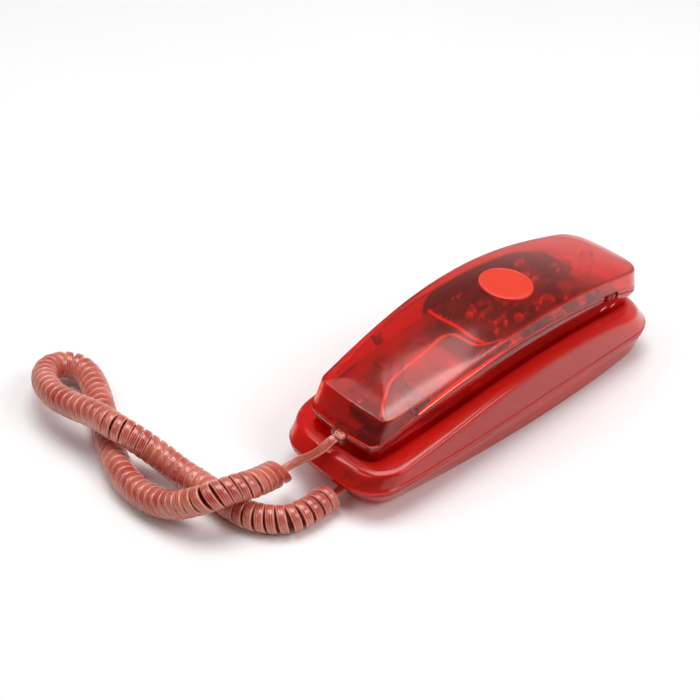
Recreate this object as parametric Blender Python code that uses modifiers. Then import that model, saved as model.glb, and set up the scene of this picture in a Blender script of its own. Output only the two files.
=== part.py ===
"""Slimline wall telephone in translucent red plastic: a keypad handset lying face down in its cradle base,
with a curly cord between them. The origin is on the floor under the middle of the base, +Y runs along the
phone towards the earpiece end, and +Z is up. Sizes are in millimetres here and become metres in the meshes.
"""

import math

import bmesh
import bpy
import numpy as np
from mathutils import Vector

MM = 0.001
GAP = 0.3                       # between touching pieces
WALL = 2.0                      # moulded shell thickness

# Stations along the phone, and the profile values at each of them.
STATIONS = (-108, -60, 0, 60, 108)
RIM_HALF_WIDTH = (33.5, 36.2, 36.6, 36.3, 36.0)
FLOOR_HALF_WIDTH = (21.9, 29.4, 33.9, 33.6, 29.0)
DECK_HEIGHT = (23.7, 29.8, 36.7, 34.4, 25.6)
SEAM_HALF_WIDTH = (20.5, 27.6, 30.6, 28.9, 24.3)
SEAM_HEIGHT = (25.6, 47.3, 55.1, 48.4, 31.8)
BACK_HEIGHT = (45.5, 52.8, 62.1, 57.7, 46.4)
FACE_HEIGHT = (16.5, 22.0, 29.5, 25.0, 15.5)

# Outlines: near end, far end, and the corner radius at each
RIM = (-108, 108, 18.3, 19.7)
FLOOR = (-97.5, 102, 15.2, 16.5)
DECK = (-102.7, 100.5, 18.8, 23.0)
SEAM = (-95.8, 104.1, 6.5, 17.8)
BACK = (-88.6, 99.7, 5.0, 13.5)
FACE = (-93.0, 88.0, 8.0, 15.0)

END_BOW = 0.8                   # the two ends curve out by this much
RIM_HEIGHT = 15.7               # joint between the tray and the deck shell
TRAY_BOTTOM = 1.0               # the rubber feet carry the tray this far up
BACK_SHARE = 0.954              # width of the back's crease as a share of the seam's
BACK_CROWN = 2.2
FACE_INSET = 6.0                # bottom edge of the face shell inside the seam
FACE_ROUND = 2.0                # rounding of that edge
CRADLE_GAP = 1.7                # around the handset in the cradle
CRADLE = (-96.6, 97.8, 8.0, 16.5)
SEAM_LIP = 1.2                  # upright band beside each joint
CRADLE_DEPTH = 3.0              # cradle floor under the handset's face

# Keypad
KEY_PITCH = (12.6, 11.0)
KEY_SIZE = (9.4, 6.8)
KEY_PROUD = 1.4
KEY_TOP = 32.5
KEYPAD_Y = -3.0
FUNCTION_KEY_Y = -35.0
FUNCTION_KEY_X = 9.5
BOARD_BOTTOM = 37.5
BOARD_THICK = 1.6

# Hook button, pressed by a post in the cradle
HOOK_Y = 34.0
HOOK_SIZE = (6.0, 5.0)
HOOK_POST = (8.0, 5.0)
HOOK_POST_TOP = 27.9
HOOK_TOP = 35.0

# Modular jacks and plugs
PLUG = (7.7, 12.0, 6.4)
HANDSET_JACK = (0.0, -82.8, 31.0)
HANDSET_JACK_SIZE = (13.6, 16.0, 9.8)
HANDSET_PLUG_Y = -91.8
BASE_JACK = (9.2, -87.9, 7.6)
BASE_JACK_SIZE = (12.6, 14.0, 8.6)
BASE_PLUG_Y = -94.4
LINE_JACK = (0.0, 93.6, 7.4)
LINE_JACK_SIZE = (14.0, 13.0, 8.2)
LINE_SOCKET = (10.2, 12.0, 6.8)

# Ringer switch in the seam on the +X side
RINGER_Y = 70.0
RINGER_SLOT = (14.0, 3.6)
RINGER_SLIDER = (6.0, 3.0)

# Badge let into the back, and the transducers
BADGE_Y = 18.5
BADGE_SIZE = (32, 27)
BADGE_FLOOR = 63.5
BADGE_THICK = 1.1
RECEIVER_Y = 62.0
RECEIVER_RADIUS = 14.0
MIC_Y = -68.0

# Wall-hanging keyholes, and the screws
TRAY_SPLIT_Y = 44.0             # the tray's far end is a cover over the line connector
KEYHOLE_Y = (-50, 50)
KEYHOLE_RADIUS = 4.2
KEYHOLE_SLOT = (5.0, 11.0)
BASE_SCREW_Y = (-72, 72)
HANDSET_SCREW_Y = (-58, 83)
HANDSET_BOSS_FOOT = 30.0
SCREW_RADIUS = 1.4
HEAD_RADIUS = 2.7
HEAD_POCKET_RADIUS = 3.2
BASE_BOSS_RADIUS = 3.6
HANDSET_BOSS_RADIUS = 3.4
FOOT_RADIUS = 4.5
FOOT_HEIGHT = 0.7
FEET = ((19, -80), (-19, -80), (24, 82), (-24, 82))

# Cord
COIL_RADIUS = 7.1
LEAD_RADIUS = 1.6
HANDSET_LEAD_ROUTE = (
    (0, -98.3, 31.0), (-0.3, -101.5, 30.2), (-1.6, -105.3, 27.2), (-4.6, -108.6, 23.6),
    (-8.4, -111.6, 20.4), (-11.3, -115.2, 17.8), (-12.6, -118.9, 16.5),
)
COIL_ROUTE = (
    (-12.9, -120.4, 16.0), (-12, -126.5, 17.5), (-10.2, -140.2, 21.5), (-12.5, -151.7, 23),
    (-16.5, -161.8, 21.8), (-24.1, -167.9, 17), (-33.5, -171.6, 11.5), (-44.4, -174.1, 8.5),
    (-57.5, -174.9, 7.3), (-71, -173, 7.2), (-84.7, -168.4, 7.2), (-98, -162.9, 7.2),
    (-108.6, -156.7, 7.2), (-123.2, -149, 7.2), (-136.3, -143.3, 7.3), (-147, -140.5, 7.8),
    (-155.5, -142, 9), (-160, -149, 10.8), (-157.5, -157.5, 13), (-147.5, -165, 15.5),
    (-133, -169, 18), (-118, -168.8, 20.2), (-102, -166.2, 22.4), (-86.2, -164.1, 22.4),
    (-74.7, -159.7, 18.5), (-63.4, -155.2, 13), (-51.7, -152.4, 8.7), (-40.8, -150.2, 7.3),
    (-29.7, -149.5, 7.2), (-17.9, -148.3, 7.2), (-8.3, -146.7, 7.2), (-0.2, -142.6, 7.2),
    (6.9, -135, 7.2), (9.4, -124.6, 7.2), (9.2, -112.8, 7.2), (9.2, -108.3, 7.2),
)
BASE_LEAD_ROUTE = ((9.2, -108.0, 7.2), (9.2, -104.4, 7.4), (9.2, -100.8, 7.6))

# Colours: base colour, roughness, metallic
RED_SHELL = ((0.62, 0.02, 0.02, 1), 0.18, 0.0)
RED_DEEP = ((0.45, 0.008, 0.01, 1), 0.2, 0.0)
RED_BADGE = ((0.80, 0.07, 0.04, 1), 0.3, 0.0)
CORD_RED = ((0.55, 0.10, 0.08, 1), 0.42, 0.0)
CLEAR = ((0.85, 0.75, 0.72, 1), 0.08, 0.0)
BLACK = ((0.02, 0.02, 0.02, 1), 0.45, 0.0)
BOARD = ((0.10, 0.05, 0.03, 1), 0.5, 0.0)
STEEL = ((0.55, 0.55, 0.56, 1), 0.3, 1.0)
BRASS = ((0.72, 0.52, 0.22, 1), 0.3, 1.0)
KEY_WHITE = ((0.80, 0.77, 0.74, 1), 0.35, 0.0)
RUBBER = ((0.05, 0.05, 0.05, 1), 0.8, 0.0)
CREAM = ((0.72, 0.62, 0.50, 1), 0.5, 0.0)
ORANGE = ((0.75, 0.25, 0.08, 1), 0.4, 0.0)


# ---------------------------------------------------------------- scene set-up

for old in list(bpy.data.objects):
    bpy.data.objects.remove(old, do_unlink=True)

PARTS = bpy.data.collections.new("slimline_wall_phone")
CUTTERS = bpy.data.collections.new("cutters")
bpy.context.scene.collection.children.link(PARTS)
bpy.context.scene.collection.children.link(CUTTERS)
CUTTERS.hide_render = True


def material(name, look):
    colour, rough, metal = look
    found = bpy.data.materials.get(name)
    if found:
        return found
    made = bpy.data.materials.new(name)
    made.use_nodes = True
    made.diffuse_color = colour
    shader = made.node_tree.nodes["Principled BSDF"]
    shader.inputs["Base Color"].default_value = colour
    shader.inputs["Roughness"].default_value = rough
    shader.inputs["Metallic"].default_value = metal
    return made


def add_object(name, mesh, look, collection=PARTS):
    """An object of this mesh, with its own material, or a hidden cutter when it has no look."""
    obj = bpy.data.objects.new(name, mesh)
    collection.objects.link(obj)
    if look:
        mesh.materials.append(material(name, look))
    else:
        obj.hide_render = True
        obj.display_type = "WIRE"
    return obj


def finish_mesh(bm, name, smooth_angle=None):
    bmesh.ops.recalc_face_normals(bm, faces=bm.faces)
    mesh = bpy.data.meshes.new(name)
    bm.to_mesh(mesh)
    bm.free()
    if smooth_angle:
        mesh.shade_smooth()
        mesh.set_sharp_from_angle(angle=math.radians(smooth_angle))
    return mesh


# ---------------------------------------------------------------- profiles and outlines

def profile(values):
    """A smooth curve along Y through the values at the stations."""
    return np.poly1d(np.polyfit(STATIONS, values, len(STATIONS) - 1))


rim_width = profile(RIM_HALF_WIDTH)
floor_width = profile(FLOOR_HALF_WIDTH)
deck_height = profile(DECK_HEIGHT)
seam_width = profile(SEAM_HALF_WIDTH)
seam_height = profile(SEAM_HEIGHT)
back_height = profile(BACK_HEIGHT)
face_height = profile(FACE_HEIGHT)


def half_outline(width, ends, height, inset=0.0):
    """Points round the +X half of a boat-shaped outline, from its near end on x = 0 to its far end.
    Ends are the near end, the far end and their corner radii; an inset makes the outline smaller all round."""
    near, far, near_corner, far_corner = ends
    near, far = near + inset, far - inset
    near_corner, far_corner = max(1, near_corner - inset), max(1, far_corner - inset)
    full_width = width

    def width(y):
        return full_width(y) - inset

    points = []
    first, last = near + END_BOW + near_corner, far - END_BOW - far_corner
    edge = width(first) - near_corner
    points += [(0, near), (edge * 0.5, near + END_BOW / 4)]
    for turn in np.linspace(0, math.pi / 2, 5):
        points.append((edge + near_corner * math.sin(turn), first - near_corner * math.cos(turn)))
    for y in np.linspace(first, last, 9)[1:-1]:
        points.append((width(y), y))
    edge = width(last) - far_corner
    for turn in np.linspace(math.pi / 2, 0, 5):
        points.append((edge + far_corner * math.sin(turn), last + far_corner * math.cos(turn)))
    points += [(edge * 0.5, far - END_BOW / 4), (0, far)]
    return [Vector((x, y, height(y) if callable(height) else height)) for x, y in points]


def between(first, second, share):
    """The outline a share of the way from one to the other."""
    return [a.lerp(b, share) for a, b in zip(first, second)]


def dropped(outline, drop):
    return [Vector((p.x, p.y, p.z - drop)) for p in outline]


def raised(profile_height, rise):
    return lambda y: profile_height(y) + rise


def loft(rings, close_first=False, close_last=False):
    """A surface through half outlines and their mirror images; an end is closed across by strips."""
    bm = bmesh.new()
    loops = []
    for ring in rings:
        right = [bm.verts.new(p * MM) for p in ring]
        left = [bm.verts.new(Vector((-p.x, p.y, p.z)) * MM) for p in ring[1:-1]]
        loops.append(right + left[::-1])
    count = len(loops[0])
    for lower, upper in zip(loops, loops[1:]):
        for i in range(count):
            j = (i + 1) % count
            bm.faces.new((lower[i], lower[j], upper[j], upper[i]))
    half = len(rings[0])
    for loop, wanted in ((loops[0], close_first), (loops[-1], close_last)):
        if not wanted:
            continue
        right = loop[:half]
        left = [right[0]] + loop[half:][::-1] + [right[-1]]
        # the first two strips at each end are thin, so one face spans both
        bm.faces.new((right[0], right[1], right[2], left[2], left[1]))
        bm.faces.new((right[-1], left[-2], left[-3], right[-3], right[-2]))
        for i in range(2, half - 3):
            bm.faces.new((right[i], right[i + 1], left[i + 1], left[i]))
    return bm


def solidify(obj, thickness, inward=True):
    mod = obj.modifiers.new("wall", "SOLIDIFY")
    mod.thickness = thickness * MM
    mod.offset = -1 if inward else 1
    mod.use_even_offset = True
    return mod


def settle(obj):
    """Replaces the object's modifiers by the mesh they make."""
    seen = obj.evaluated_get(bpy.context.evaluated_depsgraph_get())
    mesh = bpy.data.meshes.new_from_object(seen)
    materials = [slot.material for slot in obj.material_slots]
    obj.modifiers.clear()
    obj.data = mesh
    mesh.materials.clear()
    for found in materials:
        mesh.materials.append(found)


# ---------------------------------------------------------------- simple pieces

def box_mesh(name, size, bevel=0.0, segments=1):
    bm = bmesh.new()
    bmesh.ops.create_cube(bm, size=1.0)
    for vert in bm.verts:
        vert.co = Vector((vert.co.x * size[0], vert.co.y * size[1], vert.co.z * size[2])) * MM
    if bevel:
        bmesh.ops.bevel(bm, geom=list(bm.edges), offset=bevel * MM, segments=segments, affect="EDGES")
    return finish_mesh(bm, name)


def box(name, centre, size, look=None, bevel=0.0, turn=(0, 0, 0)):
    collection = PARTS if look else CUTTERS
    obj = add_object(name, box_mesh(name, size, bevel), look, collection)
    obj.location = Vector(centre) * MM
    obj.rotation_euler = [math.radians(a) for a in turn]
    return obj


def cylinder(name, centre, radius, height, look=None, sides=16, bevel=0.0, turn=(0, 0, 0)):
    bm = bmesh.new()
    bmesh.ops.create_cone(
        bm, cap_ends=True, segments=sides, radius1=radius * MM, radius2=radius * MM, depth=height * MM
    )
    if bevel:
        rims = [e for e in bm.edges if abs(e.verts[0].co.z - e.verts[1].co.z) < 1e-7]
        bmesh.ops.bevel(bm, geom=rims, offset=bevel * MM, segments=1, affect="EDGES")
    mesh = finish_mesh(bm, name, 40)
    obj = add_object(name, mesh, look, PARTS if look else CUTTERS)
    obj.location = Vector(centre) * MM
    if look is None and not any(turn):
        turn = (0, 0, 7)            # keeps a cutter's corners off the shells' centre line
    obj.rotation_euler = [math.radians(a) for a in turn]
    return obj


def turned(name, centre, outline, look, sides=20):
    """A solid turned about its own Z axis; the outline runs from the top on the axis to the bottom."""
    bm = bmesh.new()
    closed = outline[0] == outline[-1]
    verts = [bm.verts.new((r * MM, 0, z * MM)) for r, z in (outline[:-1] if closed else outline)]
    for a, b in zip(verts, verts[1:] + verts[:1] if closed else verts[1:]):
        bm.edges.new((a, b))
    mesh = bpy.data.meshes.new(name)
    bm.to_mesh(mesh)
    bm.free()
    obj = add_object(name, mesh, look, PARTS if look else CUTTERS)
    screw = obj.modifiers.new("turn", "SCREW")
    screw.steps = sides
    screw.render_steps = sides
    screw.use_merge_vertices = True
    screw.merge_threshold = 0.00001
    screw.use_smooth_shade = True
    obj.location = Vector(centre) * MM
    return obj


def wire(name, points, radius, look, resolution=2):
    """A round wire along the points, as a mesh with its end caps joined on."""
    curve = bpy.data.curves.new(name, "CURVE")
    curve.dimensions = "3D"
    curve.bevel_depth = radius * MM
    curve.bevel_resolution = resolution
    curve.use_fill_caps = True
    spline = curve.splines.new("POLY")
    spline.points.add(len(points) - 1)
    for point, place in zip(spline.points, points):
        point.co = (*(Vector(place) * MM), 1)
    obj = bpy.data.objects.new(name, curve)
    PARTS.objects.link(obj)
    curve.materials.append(material(name, look))
    return obj


def cut(obj, *cutters):
    for cutter in cutters:
        mod = obj.modifiers.new("cut", "BOOLEAN")
        mod.operation = "DIFFERENCE"
        mod.object = cutter


def join(obj, *extras):
    for extra in extras:
        mod = obj.modifiers.new("join", "BOOLEAN")
        mod.operation = "UNION"
        mod.object = extra


def smooth_route(points, spacing):
    """Points at an even spacing along a Catmull-Rom curve through the route's points."""
    ends = [2 * Vector(points[0]) - Vector(points[1])]
    far = [2 * Vector(points[-1]) - Vector(points[-2])]
    route = ends + [Vector(p) for p in points] + far
    fine = []
    for i in range(1, len(route) - 2):
        p0, p1, p2, p3 = route[i - 1:i + 3]
        for t in np.linspace(0, 1, 24, endpoint=False):
            fine.append(0.5 * (
                2 * p1 + (p2 - p0) * t + (2 * p0 - 5 * p1 + 4 * p2 - p3) * t ** 2
                + (3 * p1 - p0 - 3 * p2 + p3) * t ** 3
            ))
    fine.append(route[-2])
    steps = [0.0]
    for a, b in zip(fine, fine[1:]):
        steps.append(steps[-1] + (b - a).length)
    count = max(2, round(steps[-1] / spacing) + 1)
    wanted = np.linspace(0, steps[-1], count)
    columns = [np.interp(wanted, steps, [p[axis] for p in fine]) for axis in range(3)]
    return [Vector(place) for place in zip(*columns)]


# ---------------------------------------------------------------- base

def tray(name, removed_y):
    """A part of the base's boat-shaped tray, with its rim on the joint; what lies past removed_y is cut away."""
    floor = half_outline(floor_width, FLOOR, 0.0)
    rim = half_outline(rim_width, RIM, RIM_HEIGHT - GAP / 2, inset=0.4)
    lip = dropped(rim, SEAM_LIP)
    foot = between(floor, rim, TRAY_BOTTOM / RIM_HEIGHT)
    inner_foot = [Vector((p.x * 0.93, p.y * 0.985, TRAY_BOTTOM)) for p in foot]
    edge = between(floor, rim, 2 * TRAY_BOTTOM / RIM_HEIGHT)
    bm = loft([inner_foot, edge, lip, rim], close_first=True)
    obj = add_object(name, finish_mesh(bm, name, 30), RED_DEEP)
    solidify(obj, WALL)
    end = math.copysign(1, removed_y - TRAY_SPLIT_Y)
    cutters = [box(f"cut_{name}", (0, TRAY_SPLIT_Y + end * (100 - GAP / 2), 10), (100, 200, 60))]
    width, length, height = PLUG
    if end > 0:
        centre = (BASE_JACK[0], -100, BASE_JACK[2])
        cutters.append(box("cut_base_plug", centre, (width + 0.9, 16, height + 0.9)))
    else:
        cutters.append(box("cut_line_plug", (LINE_JACK[0], 104, LINE_JACK[2]), (11.0, 12, 7.6)))
    y = KEYHOLE_Y[0] if end > 0 else KEYHOLE_Y[1]
    slot_width, slot_length = KEYHOLE_SLOT
    cutters.append(cylinder(f"cut_{name}_keyhole", (0, y, 2), KEYHOLE_RADIUS, 8))
    cutters.append(box(f"cut_{name}_slot", (0, y + slot_length / 2, 2), (slot_width, slot_length, 8)))
    y = BASE_SCREW_Y[0] if end > 0 else BASE_SCREW_Y[1]
    cutters.append(cylinder(f"cut_{name}_screw", (0, y, 2), SCREW_RADIUS + GAP, 8, sides=12))
    cutters.append(cylinder(f"cut_{name}_head", (0, y, 0.5), HEAD_POCKET_RADIUS, 2.6, sides=12))
    cut(obj, *cutters)


def cradle_width(y):
    """Half the width of the handset's face shell where it passes the deck, with the gap round it."""
    drop = seam_height(y) - deck_height(y)
    depth = seam_height(y) - face_height(y) - FACE_ROUND
    return seam_width(y) - FACE_INSET * min(1, drop / depth) + CRADLE_GAP


def deck_shell():
    """The upper half of the base: outer wall, deck, and the cradle that the handset lies in."""
    rim = half_outline(rim_width, RIM, RIM_HEIGHT + GAP / 2)
    wall_top = half_outline(rim_width, DECK, deck_height)
    lip = dropped(rim, -SEAM_LIP)
    shoulder = between(rim, wall_top, 0.88)
    deck = half_outline(rim_width, DECK, raised(deck_height, 0.4), inset=1.4)
    cradle_top = half_outline(cradle_width, CRADLE, raised(deck_height, 1.0))
    cradle_floor = half_outline(cradle_width, CRADLE, raised(face_height, -CRADLE_DEPTH), inset=1.0)
    bm = loft([rim, lip, shoulder, deck, cradle_top, cradle_floor], close_last=True)
    obj = add_object("base_top_shell", finish_mesh(bm, "base_top_shell", 30), RED_SHELL)
    solidify(obj, WALL)
    settle(obj)
    post_foot = face_height(HOOK_Y) - CRADLE_DEPTH - WALL / 2
    joined = [box("join_hook_post", (0, HOOK_Y, (HOOK_POST_TOP + post_foot) / 2),
                  (*HOOK_POST, HOOK_POST_TOP - post_foot))]
    bores = []
    boss_foot = TRAY_BOTTOM + WALL + 2 * GAP
    for i, y in enumerate(BASE_SCREW_Y, 1):
        top = face_height(y) - CRADLE_DEPTH - WALL / 2
        joined.append(cylinder(f"join_boss_{i}", (0, y, (boss_foot + top) / 2), BASE_BOSS_RADIUS,
                               top - boss_foot, sides=12))
        bores.append(cylinder(f"cut_boss_{i}", (0, y, 6), SCREW_RADIUS + GAP, 9, sides=12))
    join(obj, *joined)
    cut(obj, *bores)
    return obj


def jack(name, centre, size, socket, socket_centre, look=BLACK):
    obj = box(name, centre, size, look, bevel=0.4)
    cut(obj, box(f"cut_{name}", socket_centre, socket))
    return obj


def rubber_feet():
    for i, (x, y) in enumerate(FEET, 1):
        cylinder(f"rubber_foot_{i}", (x, y, FOOT_HEIGHT / 2), FOOT_RADIUS, FOOT_HEIGHT, RUBBER)


def screw(name, x, y, head_z, length, look=STEEL):
    """A pan-head screw pointing up, with its head at the bottom."""
    outline = ((0, length), (SCREW_RADIUS, length - 0.6), (SCREW_RADIUS, 1.3), (HEAD_RADIUS, 1.2),
               (HEAD_RADIUS - 0.2, 0.2), (0, 0))
    return turned(name, (x, y, head_z), outline, look, sides=12)


def base_inside():
    jack("base_cord_jack", BASE_JACK, BASE_JACK_SIZE,
         (PLUG[0] + 0.8, 12.6, PLUG[2] + 0.8), (BASE_JACK[0], BASE_PLUG_Y, BASE_JACK[2]))
    jack("line_jack", LINE_JACK, LINE_JACK_SIZE, LINE_SOCKET, (LINE_JACK[0], LINE_JACK[1] + 3, LINE_JACK[2]))
    ballast = box("ballast_plate", (0, 2, 4.9), (44, 74, 3.0), STEEL, bevel=0.4)
    cut(ballast, box("cut_ballast", (0, 2, 5), (12, 40, 8)))
    box("terminal_board", (0, 81.3, 4.2), (26, 10.6, 1.4), BOARD)
    points = smooth_route(((12, 75, 6.0), (27, 60, 5.2), (29, 20, 4.6), (28, -30, 4.6),
                           (22, -66, 5.0), (13, -79.4, 6.0)), 5)
    wire("jack_link_cable", points, 0.9, CREAM)
    for i, y in enumerate(BASE_SCREW_Y, 1):
        screw(f"base_screw_{i}", 0, y, 0.4, 9)


# ---------------------------------------------------------------- cord

def modular_plug(name, x, y, z):
    """A four-contact clear plug lying along Y, with its latch on top."""
    width, length, height = PLUG
    body = box(name, (x, y, z), (width, length, height - 0.8), CLEAR, bevel=0.3)
    latch = box(f"join_{name}", (x, y + 0.5, z + height / 2 - 0.5), (3.0, 9.0, 1.0))
    join(body, latch)
    return body


def cord():
    modular_plug("handset_cord_plug", 0, HANDSET_PLUG_Y, HANDSET_JACK[2])
    modular_plug("base_cord_plug", BASE_JACK[0], BASE_PLUG_Y, BASE_JACK[2])
    wire("handset_cord_lead", smooth_route(HANDSET_LEAD_ROUTE, 3.2), LEAD_RADIUS, CORD_RED)
    wire("curly_cord_coil", smooth_route(COIL_ROUTE, 8.0), COIL_RADIUS, CORD_RED, resolution=3)
    wire("base_cord_lead", BASE_LEAD_ROUTE, LEAD_RADIUS, CORD_RED)


# ---------------------------------------------------------------- handset shells

def ringer_frame():
    """The seam's place and slope at the ringer switch, on the +X side."""
    slope = math.atan(seam_height.deriv()(RINGER_Y))
    return Vector((seam_width(RINGER_Y), RINGER_Y, seam_height(RINGER_Y))), slope


def handset_back():
    seam = half_outline(seam_width, SEAM, raised(seam_height, GAP / 2))
    crease = [Vector((p.x * BACK_SHARE, p.y, p.z)) for p in half_outline(seam_width, BACK, back_height)]
    low = between(seam, crease, 0.86)
    top = [Vector((p.x * 0.94, p.y * 0.985 + 0.1, p.z + 0.7)) for p in crease]
    crown = [Vector((p.x * 0.55, p.y * 0.9 + 0.6, back_height(p.y * 0.9 + 0.6) + BACK_CROWN)) for p in crease]
    lip = dropped(seam, -SEAM_LIP)
    bm = loft([seam, lip, low, top, crown], close_last=True)
    obj = add_object("handset_back_shell", finish_mesh(bm, "handset_back_shell", 30), RED_SHELL)
    solidify(obj, WALL)
    settle(obj)
    bosses = []
    bores = []
    for i, y in enumerate(HANDSET_SCREW_Y, 1):
        top_z = back_height(y) + 1.0
        foot_z = HANDSET_BOSS_FOOT
        bosses.append(cylinder(f"join_handset_boss_{i}", (0, y, (foot_z + top_z) / 2), HANDSET_BOSS_RADIUS,
                               top_z - foot_z, sides=12))
        bores.append(cylinder(f"cut_handset_boss_{i}", (0, y, foot_z + 4), SCREW_RADIUS + GAP, 10, sides=12))
    join(obj, *bosses)
    pocket = cylinder("cut_badge", (0, BADGE_Y, BADGE_FLOOR + 5), 1.0 / MM, 10, sides=32)
    make_oval(pocket, BADGE_SIZE[0] / 2 + GAP, BADGE_SIZE[1] / 2 + GAP)
    pocket.rotation_euler = (0, 0, 0)
    cut(obj, *bores, pocket, plug_window("cut_back_plug"), ringer_slot("cut_back_ringer"))
    return obj


def make_oval(disc, half_x, half_y):
    """Stretches a disc of unit radius to these half sizes."""
    for vert in disc.data.vertices:
        vert.co.x *= half_x * MM
        vert.co.y *= half_y * MM


def plug_window(name):
    width, length, height = PLUG
    return box(name, (0, -96, HANDSET_JACK[2]), (width + 0.9, 14, height + 0.9))


def ringer_slot(name):
    place, slope = ringer_frame()
    return box(name, place, (8, *RINGER_SLOT), turn=(math.degrees(slope), 0, 0))


def handset_face():
    seam = half_outline(seam_width, SEAM, raised(seam_height, -GAP / 2))
    edge = half_outline(seam_width, FACE, raised(face_height, FACE_ROUND), inset=FACE_INSET)
    edge = [Vector((p.x, p.y + (-FACE_INSET if p.y < 0 else FACE_INSET) * end_share(p.y), p.z)) for p in edge]
    flat = [Vector((p.x * 0.9, p.y * 0.98, face_height(p.y * 0.98))) for p in edge]
    belly = between(seam, edge, 0.5)
    belly = [Vector((p.x * 1.03, p.y, p.z)) for p in belly]
    lip = dropped(seam, SEAM_LIP)
    bm = loft([seam, lip, belly, edge, flat], close_last=True)
    obj = add_object("handset_face_shell", finish_mesh(bm, "handset_face_shell", 30), RED_DEEP)
    solidify(obj, WALL)
    settle(obj)
    cutters = [plug_window("cut_face_plug"), ringer_slot("cut_face_ringer")]
    for name, x, y in key_places():
        cutters.append(box(f"cut_{name}", (x, y, face_height(y)),
                           (KEY_SIZE[0] + 2 * GAP, KEY_SIZE[1] + 2 * GAP, 16)))
    cutters.append(box("cut_hook_button", (0, HOOK_Y, face_height(HOOK_Y)),
                       (HOOK_SIZE[0] + 2 * GAP, HOOK_SIZE[1] + 2 * GAP, 16)))
    for i, y in enumerate(HANDSET_SCREW_Y, 1):
        cutters.append(cylinder(f"cut_face_screw_{i}", (0, y, face_height(y)), SCREW_RADIUS + GAP, 12, sides=12))
        cutters.append(cylinder(f"cut_face_head_{i}", (0, y, face_height(y) - 1), HEAD_POCKET_RADIUS, 3.6,
                                sides=12))
    for i in range(7):
        turn = i * math.tau / 6
        radius = 5.0 if i < 6 else 0.0
        place = (radius * math.cos(turn), RECEIVER_Y + radius * math.sin(turn), face_height(RECEIVER_Y))
        cutters.append(cylinder(f"cut_ear_hole_{i}", place, 1.1, 12, sides=8))
    cutters.append(cylinder("cut_mic_hole", (0, MIC_Y, face_height(MIC_Y)), 1.0, 12, sides=8))
    cut(obj, *cutters)
    return obj


def end_share(y):
    """0 along the sides and 1 at the two ends of the face."""
    return max(0.0, (abs(y) - 70) / 20) if abs(y) < 90 else 1.0


# ---------------------------------------------------------------- handset pieces

def key_places():
    """Name, x and y of each key; the keypad's top row is nearest the earpiece."""
    digits = ("1", "2", "3", "4", "5", "6", "7", "8", "9", "star", "0", "hash")
    for i, digit in enumerate(digits):
        column, row = i % 3 - 1, i // 3
        # seen from the face, with the earpiece up, the left column is on +X
        yield f"key_{digit}", -column * KEY_PITCH[0], KEYPAD_Y + (1.5 - row) * KEY_PITCH[1]
    yield "redial_key", FUNCTION_KEY_X, FUNCTION_KEY_Y
    yield "flash_key", -FUNCTION_KEY_X, FUNCTION_KEY_Y


def keys():
    for name, x, y in key_places():
        bottom = face_height(y) - KEY_PROUD
        height = KEY_TOP - bottom
        mesh = box_mesh(name, (*KEY_SIZE, height), bevel=0.5)
        obj = add_object(name, mesh, KEY_WHITE)
        obj.location = Vector((x, y, bottom + height / 2)) * MM


def hook_button():
    bottom = HOOK_POST_TOP + GAP
    height = HOOK_TOP - bottom
    box("hook_plunger", (0, HOOK_Y, bottom + height / 2), (*HOOK_SIZE, height), KEY_WHITE, bevel=0.5)
    box("hook_switch", (10.0, HOOK_Y, 34.5), (9.0, 12.0, 5.4), BLACK, bevel=0.3)


def boards():
    board = box("main_circuit_board", (0, 13, BOARD_BOTTOM + BOARD_THICK / 2), (44, 130, BOARD_THICK), BOARD)
    cut(board, box("cut_board_hook", (0, HOOK_Y, BOARD_BOTTOM), (8, 8, 8)))
    box("keypad_membrane", (0, -10.0, 35.6), (38, 62, 3.0), RUBBER, bevel=0.3)
    top = BOARD_BOTTOM + BOARD_THICK + GAP
    cylinder("filter_capacitor", (4.5, 61, top + 3), 4.2, 6, ORANGE, bevel=0.5)
    cylinder("bulk_capacitor", (11, 70, top + 3.2), 3.1, 12, ORANGE, bevel=0.5, turn=(0, 90, 40))
    box("dialler_chip", (-5, 38, top + 1.6), (10, 24, 3.2), BLACK, bevel=0.2)
    box("bridge_rectifier", (15.5, 49, top + 2.5), (6, 7, 5), BLACK, bevel=0.3)
    cylinder("crystal_can", (-17, 1.5, top + 1.9), 1.9, 9, STEEL, bevel=0.3, turn=(90, 0, 30))
    cylinder("resistor_1", (-4, 9, top + 1.2), 1.2, 10, CREAM, sides=10, turn=(90, 0, 8))
    cylinder("resistor_2", (5, 9, top + 1.2), 1.2, 10, CREAM, sides=10, turn=(90, 0, 8))


def transducers():
    ear_z = face_height(RECEIVER_Y - RECEIVER_RADIUS) + WALL + 0.5
    turned("receiver_capsule", (0, RECEIVER_Y, ear_z),
           ((0, 8), (9, 8), (9, 5), (RECEIVER_RADIUS - 0.6, 4.2), (RECEIVER_RADIUS, 1), (0, 0.2)),
           BLACK, sides=24)
    mic_z = face_height(MIC_Y + 6) + WALL + 0.6
    turned("microphone_boot", (0, MIC_Y, mic_z),
           ((3.6, 5), (5.6, 5), (6, 0.4), (3.6, 0.4), (3.6, 5)), RUBBER, sides=16)
    cylinder("microphone_capsule", (0, MIC_Y, mic_z + 2.7), 3.2, 4.2, STEEL, bevel=0.3)
    cylinder("sounder_disc", (0, -48.2, 29.4), 5.6, 1.0, BRASS, sides=20)


def ringer_switch():
    place, slope = ringer_frame()
    turn = (math.degrees(slope), 0, 0)
    box("ringer_slider", place + Vector((-0.6, 0, 0)), (2.6, *RINGER_SLIDER), KEY_WHITE, bevel=0.4, turn=turn)
    box("ringer_switch", place + Vector((-5.4, 0, 0)), (4.6, 12, 6), BLACK, bevel=0.3, turn=turn)


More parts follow.
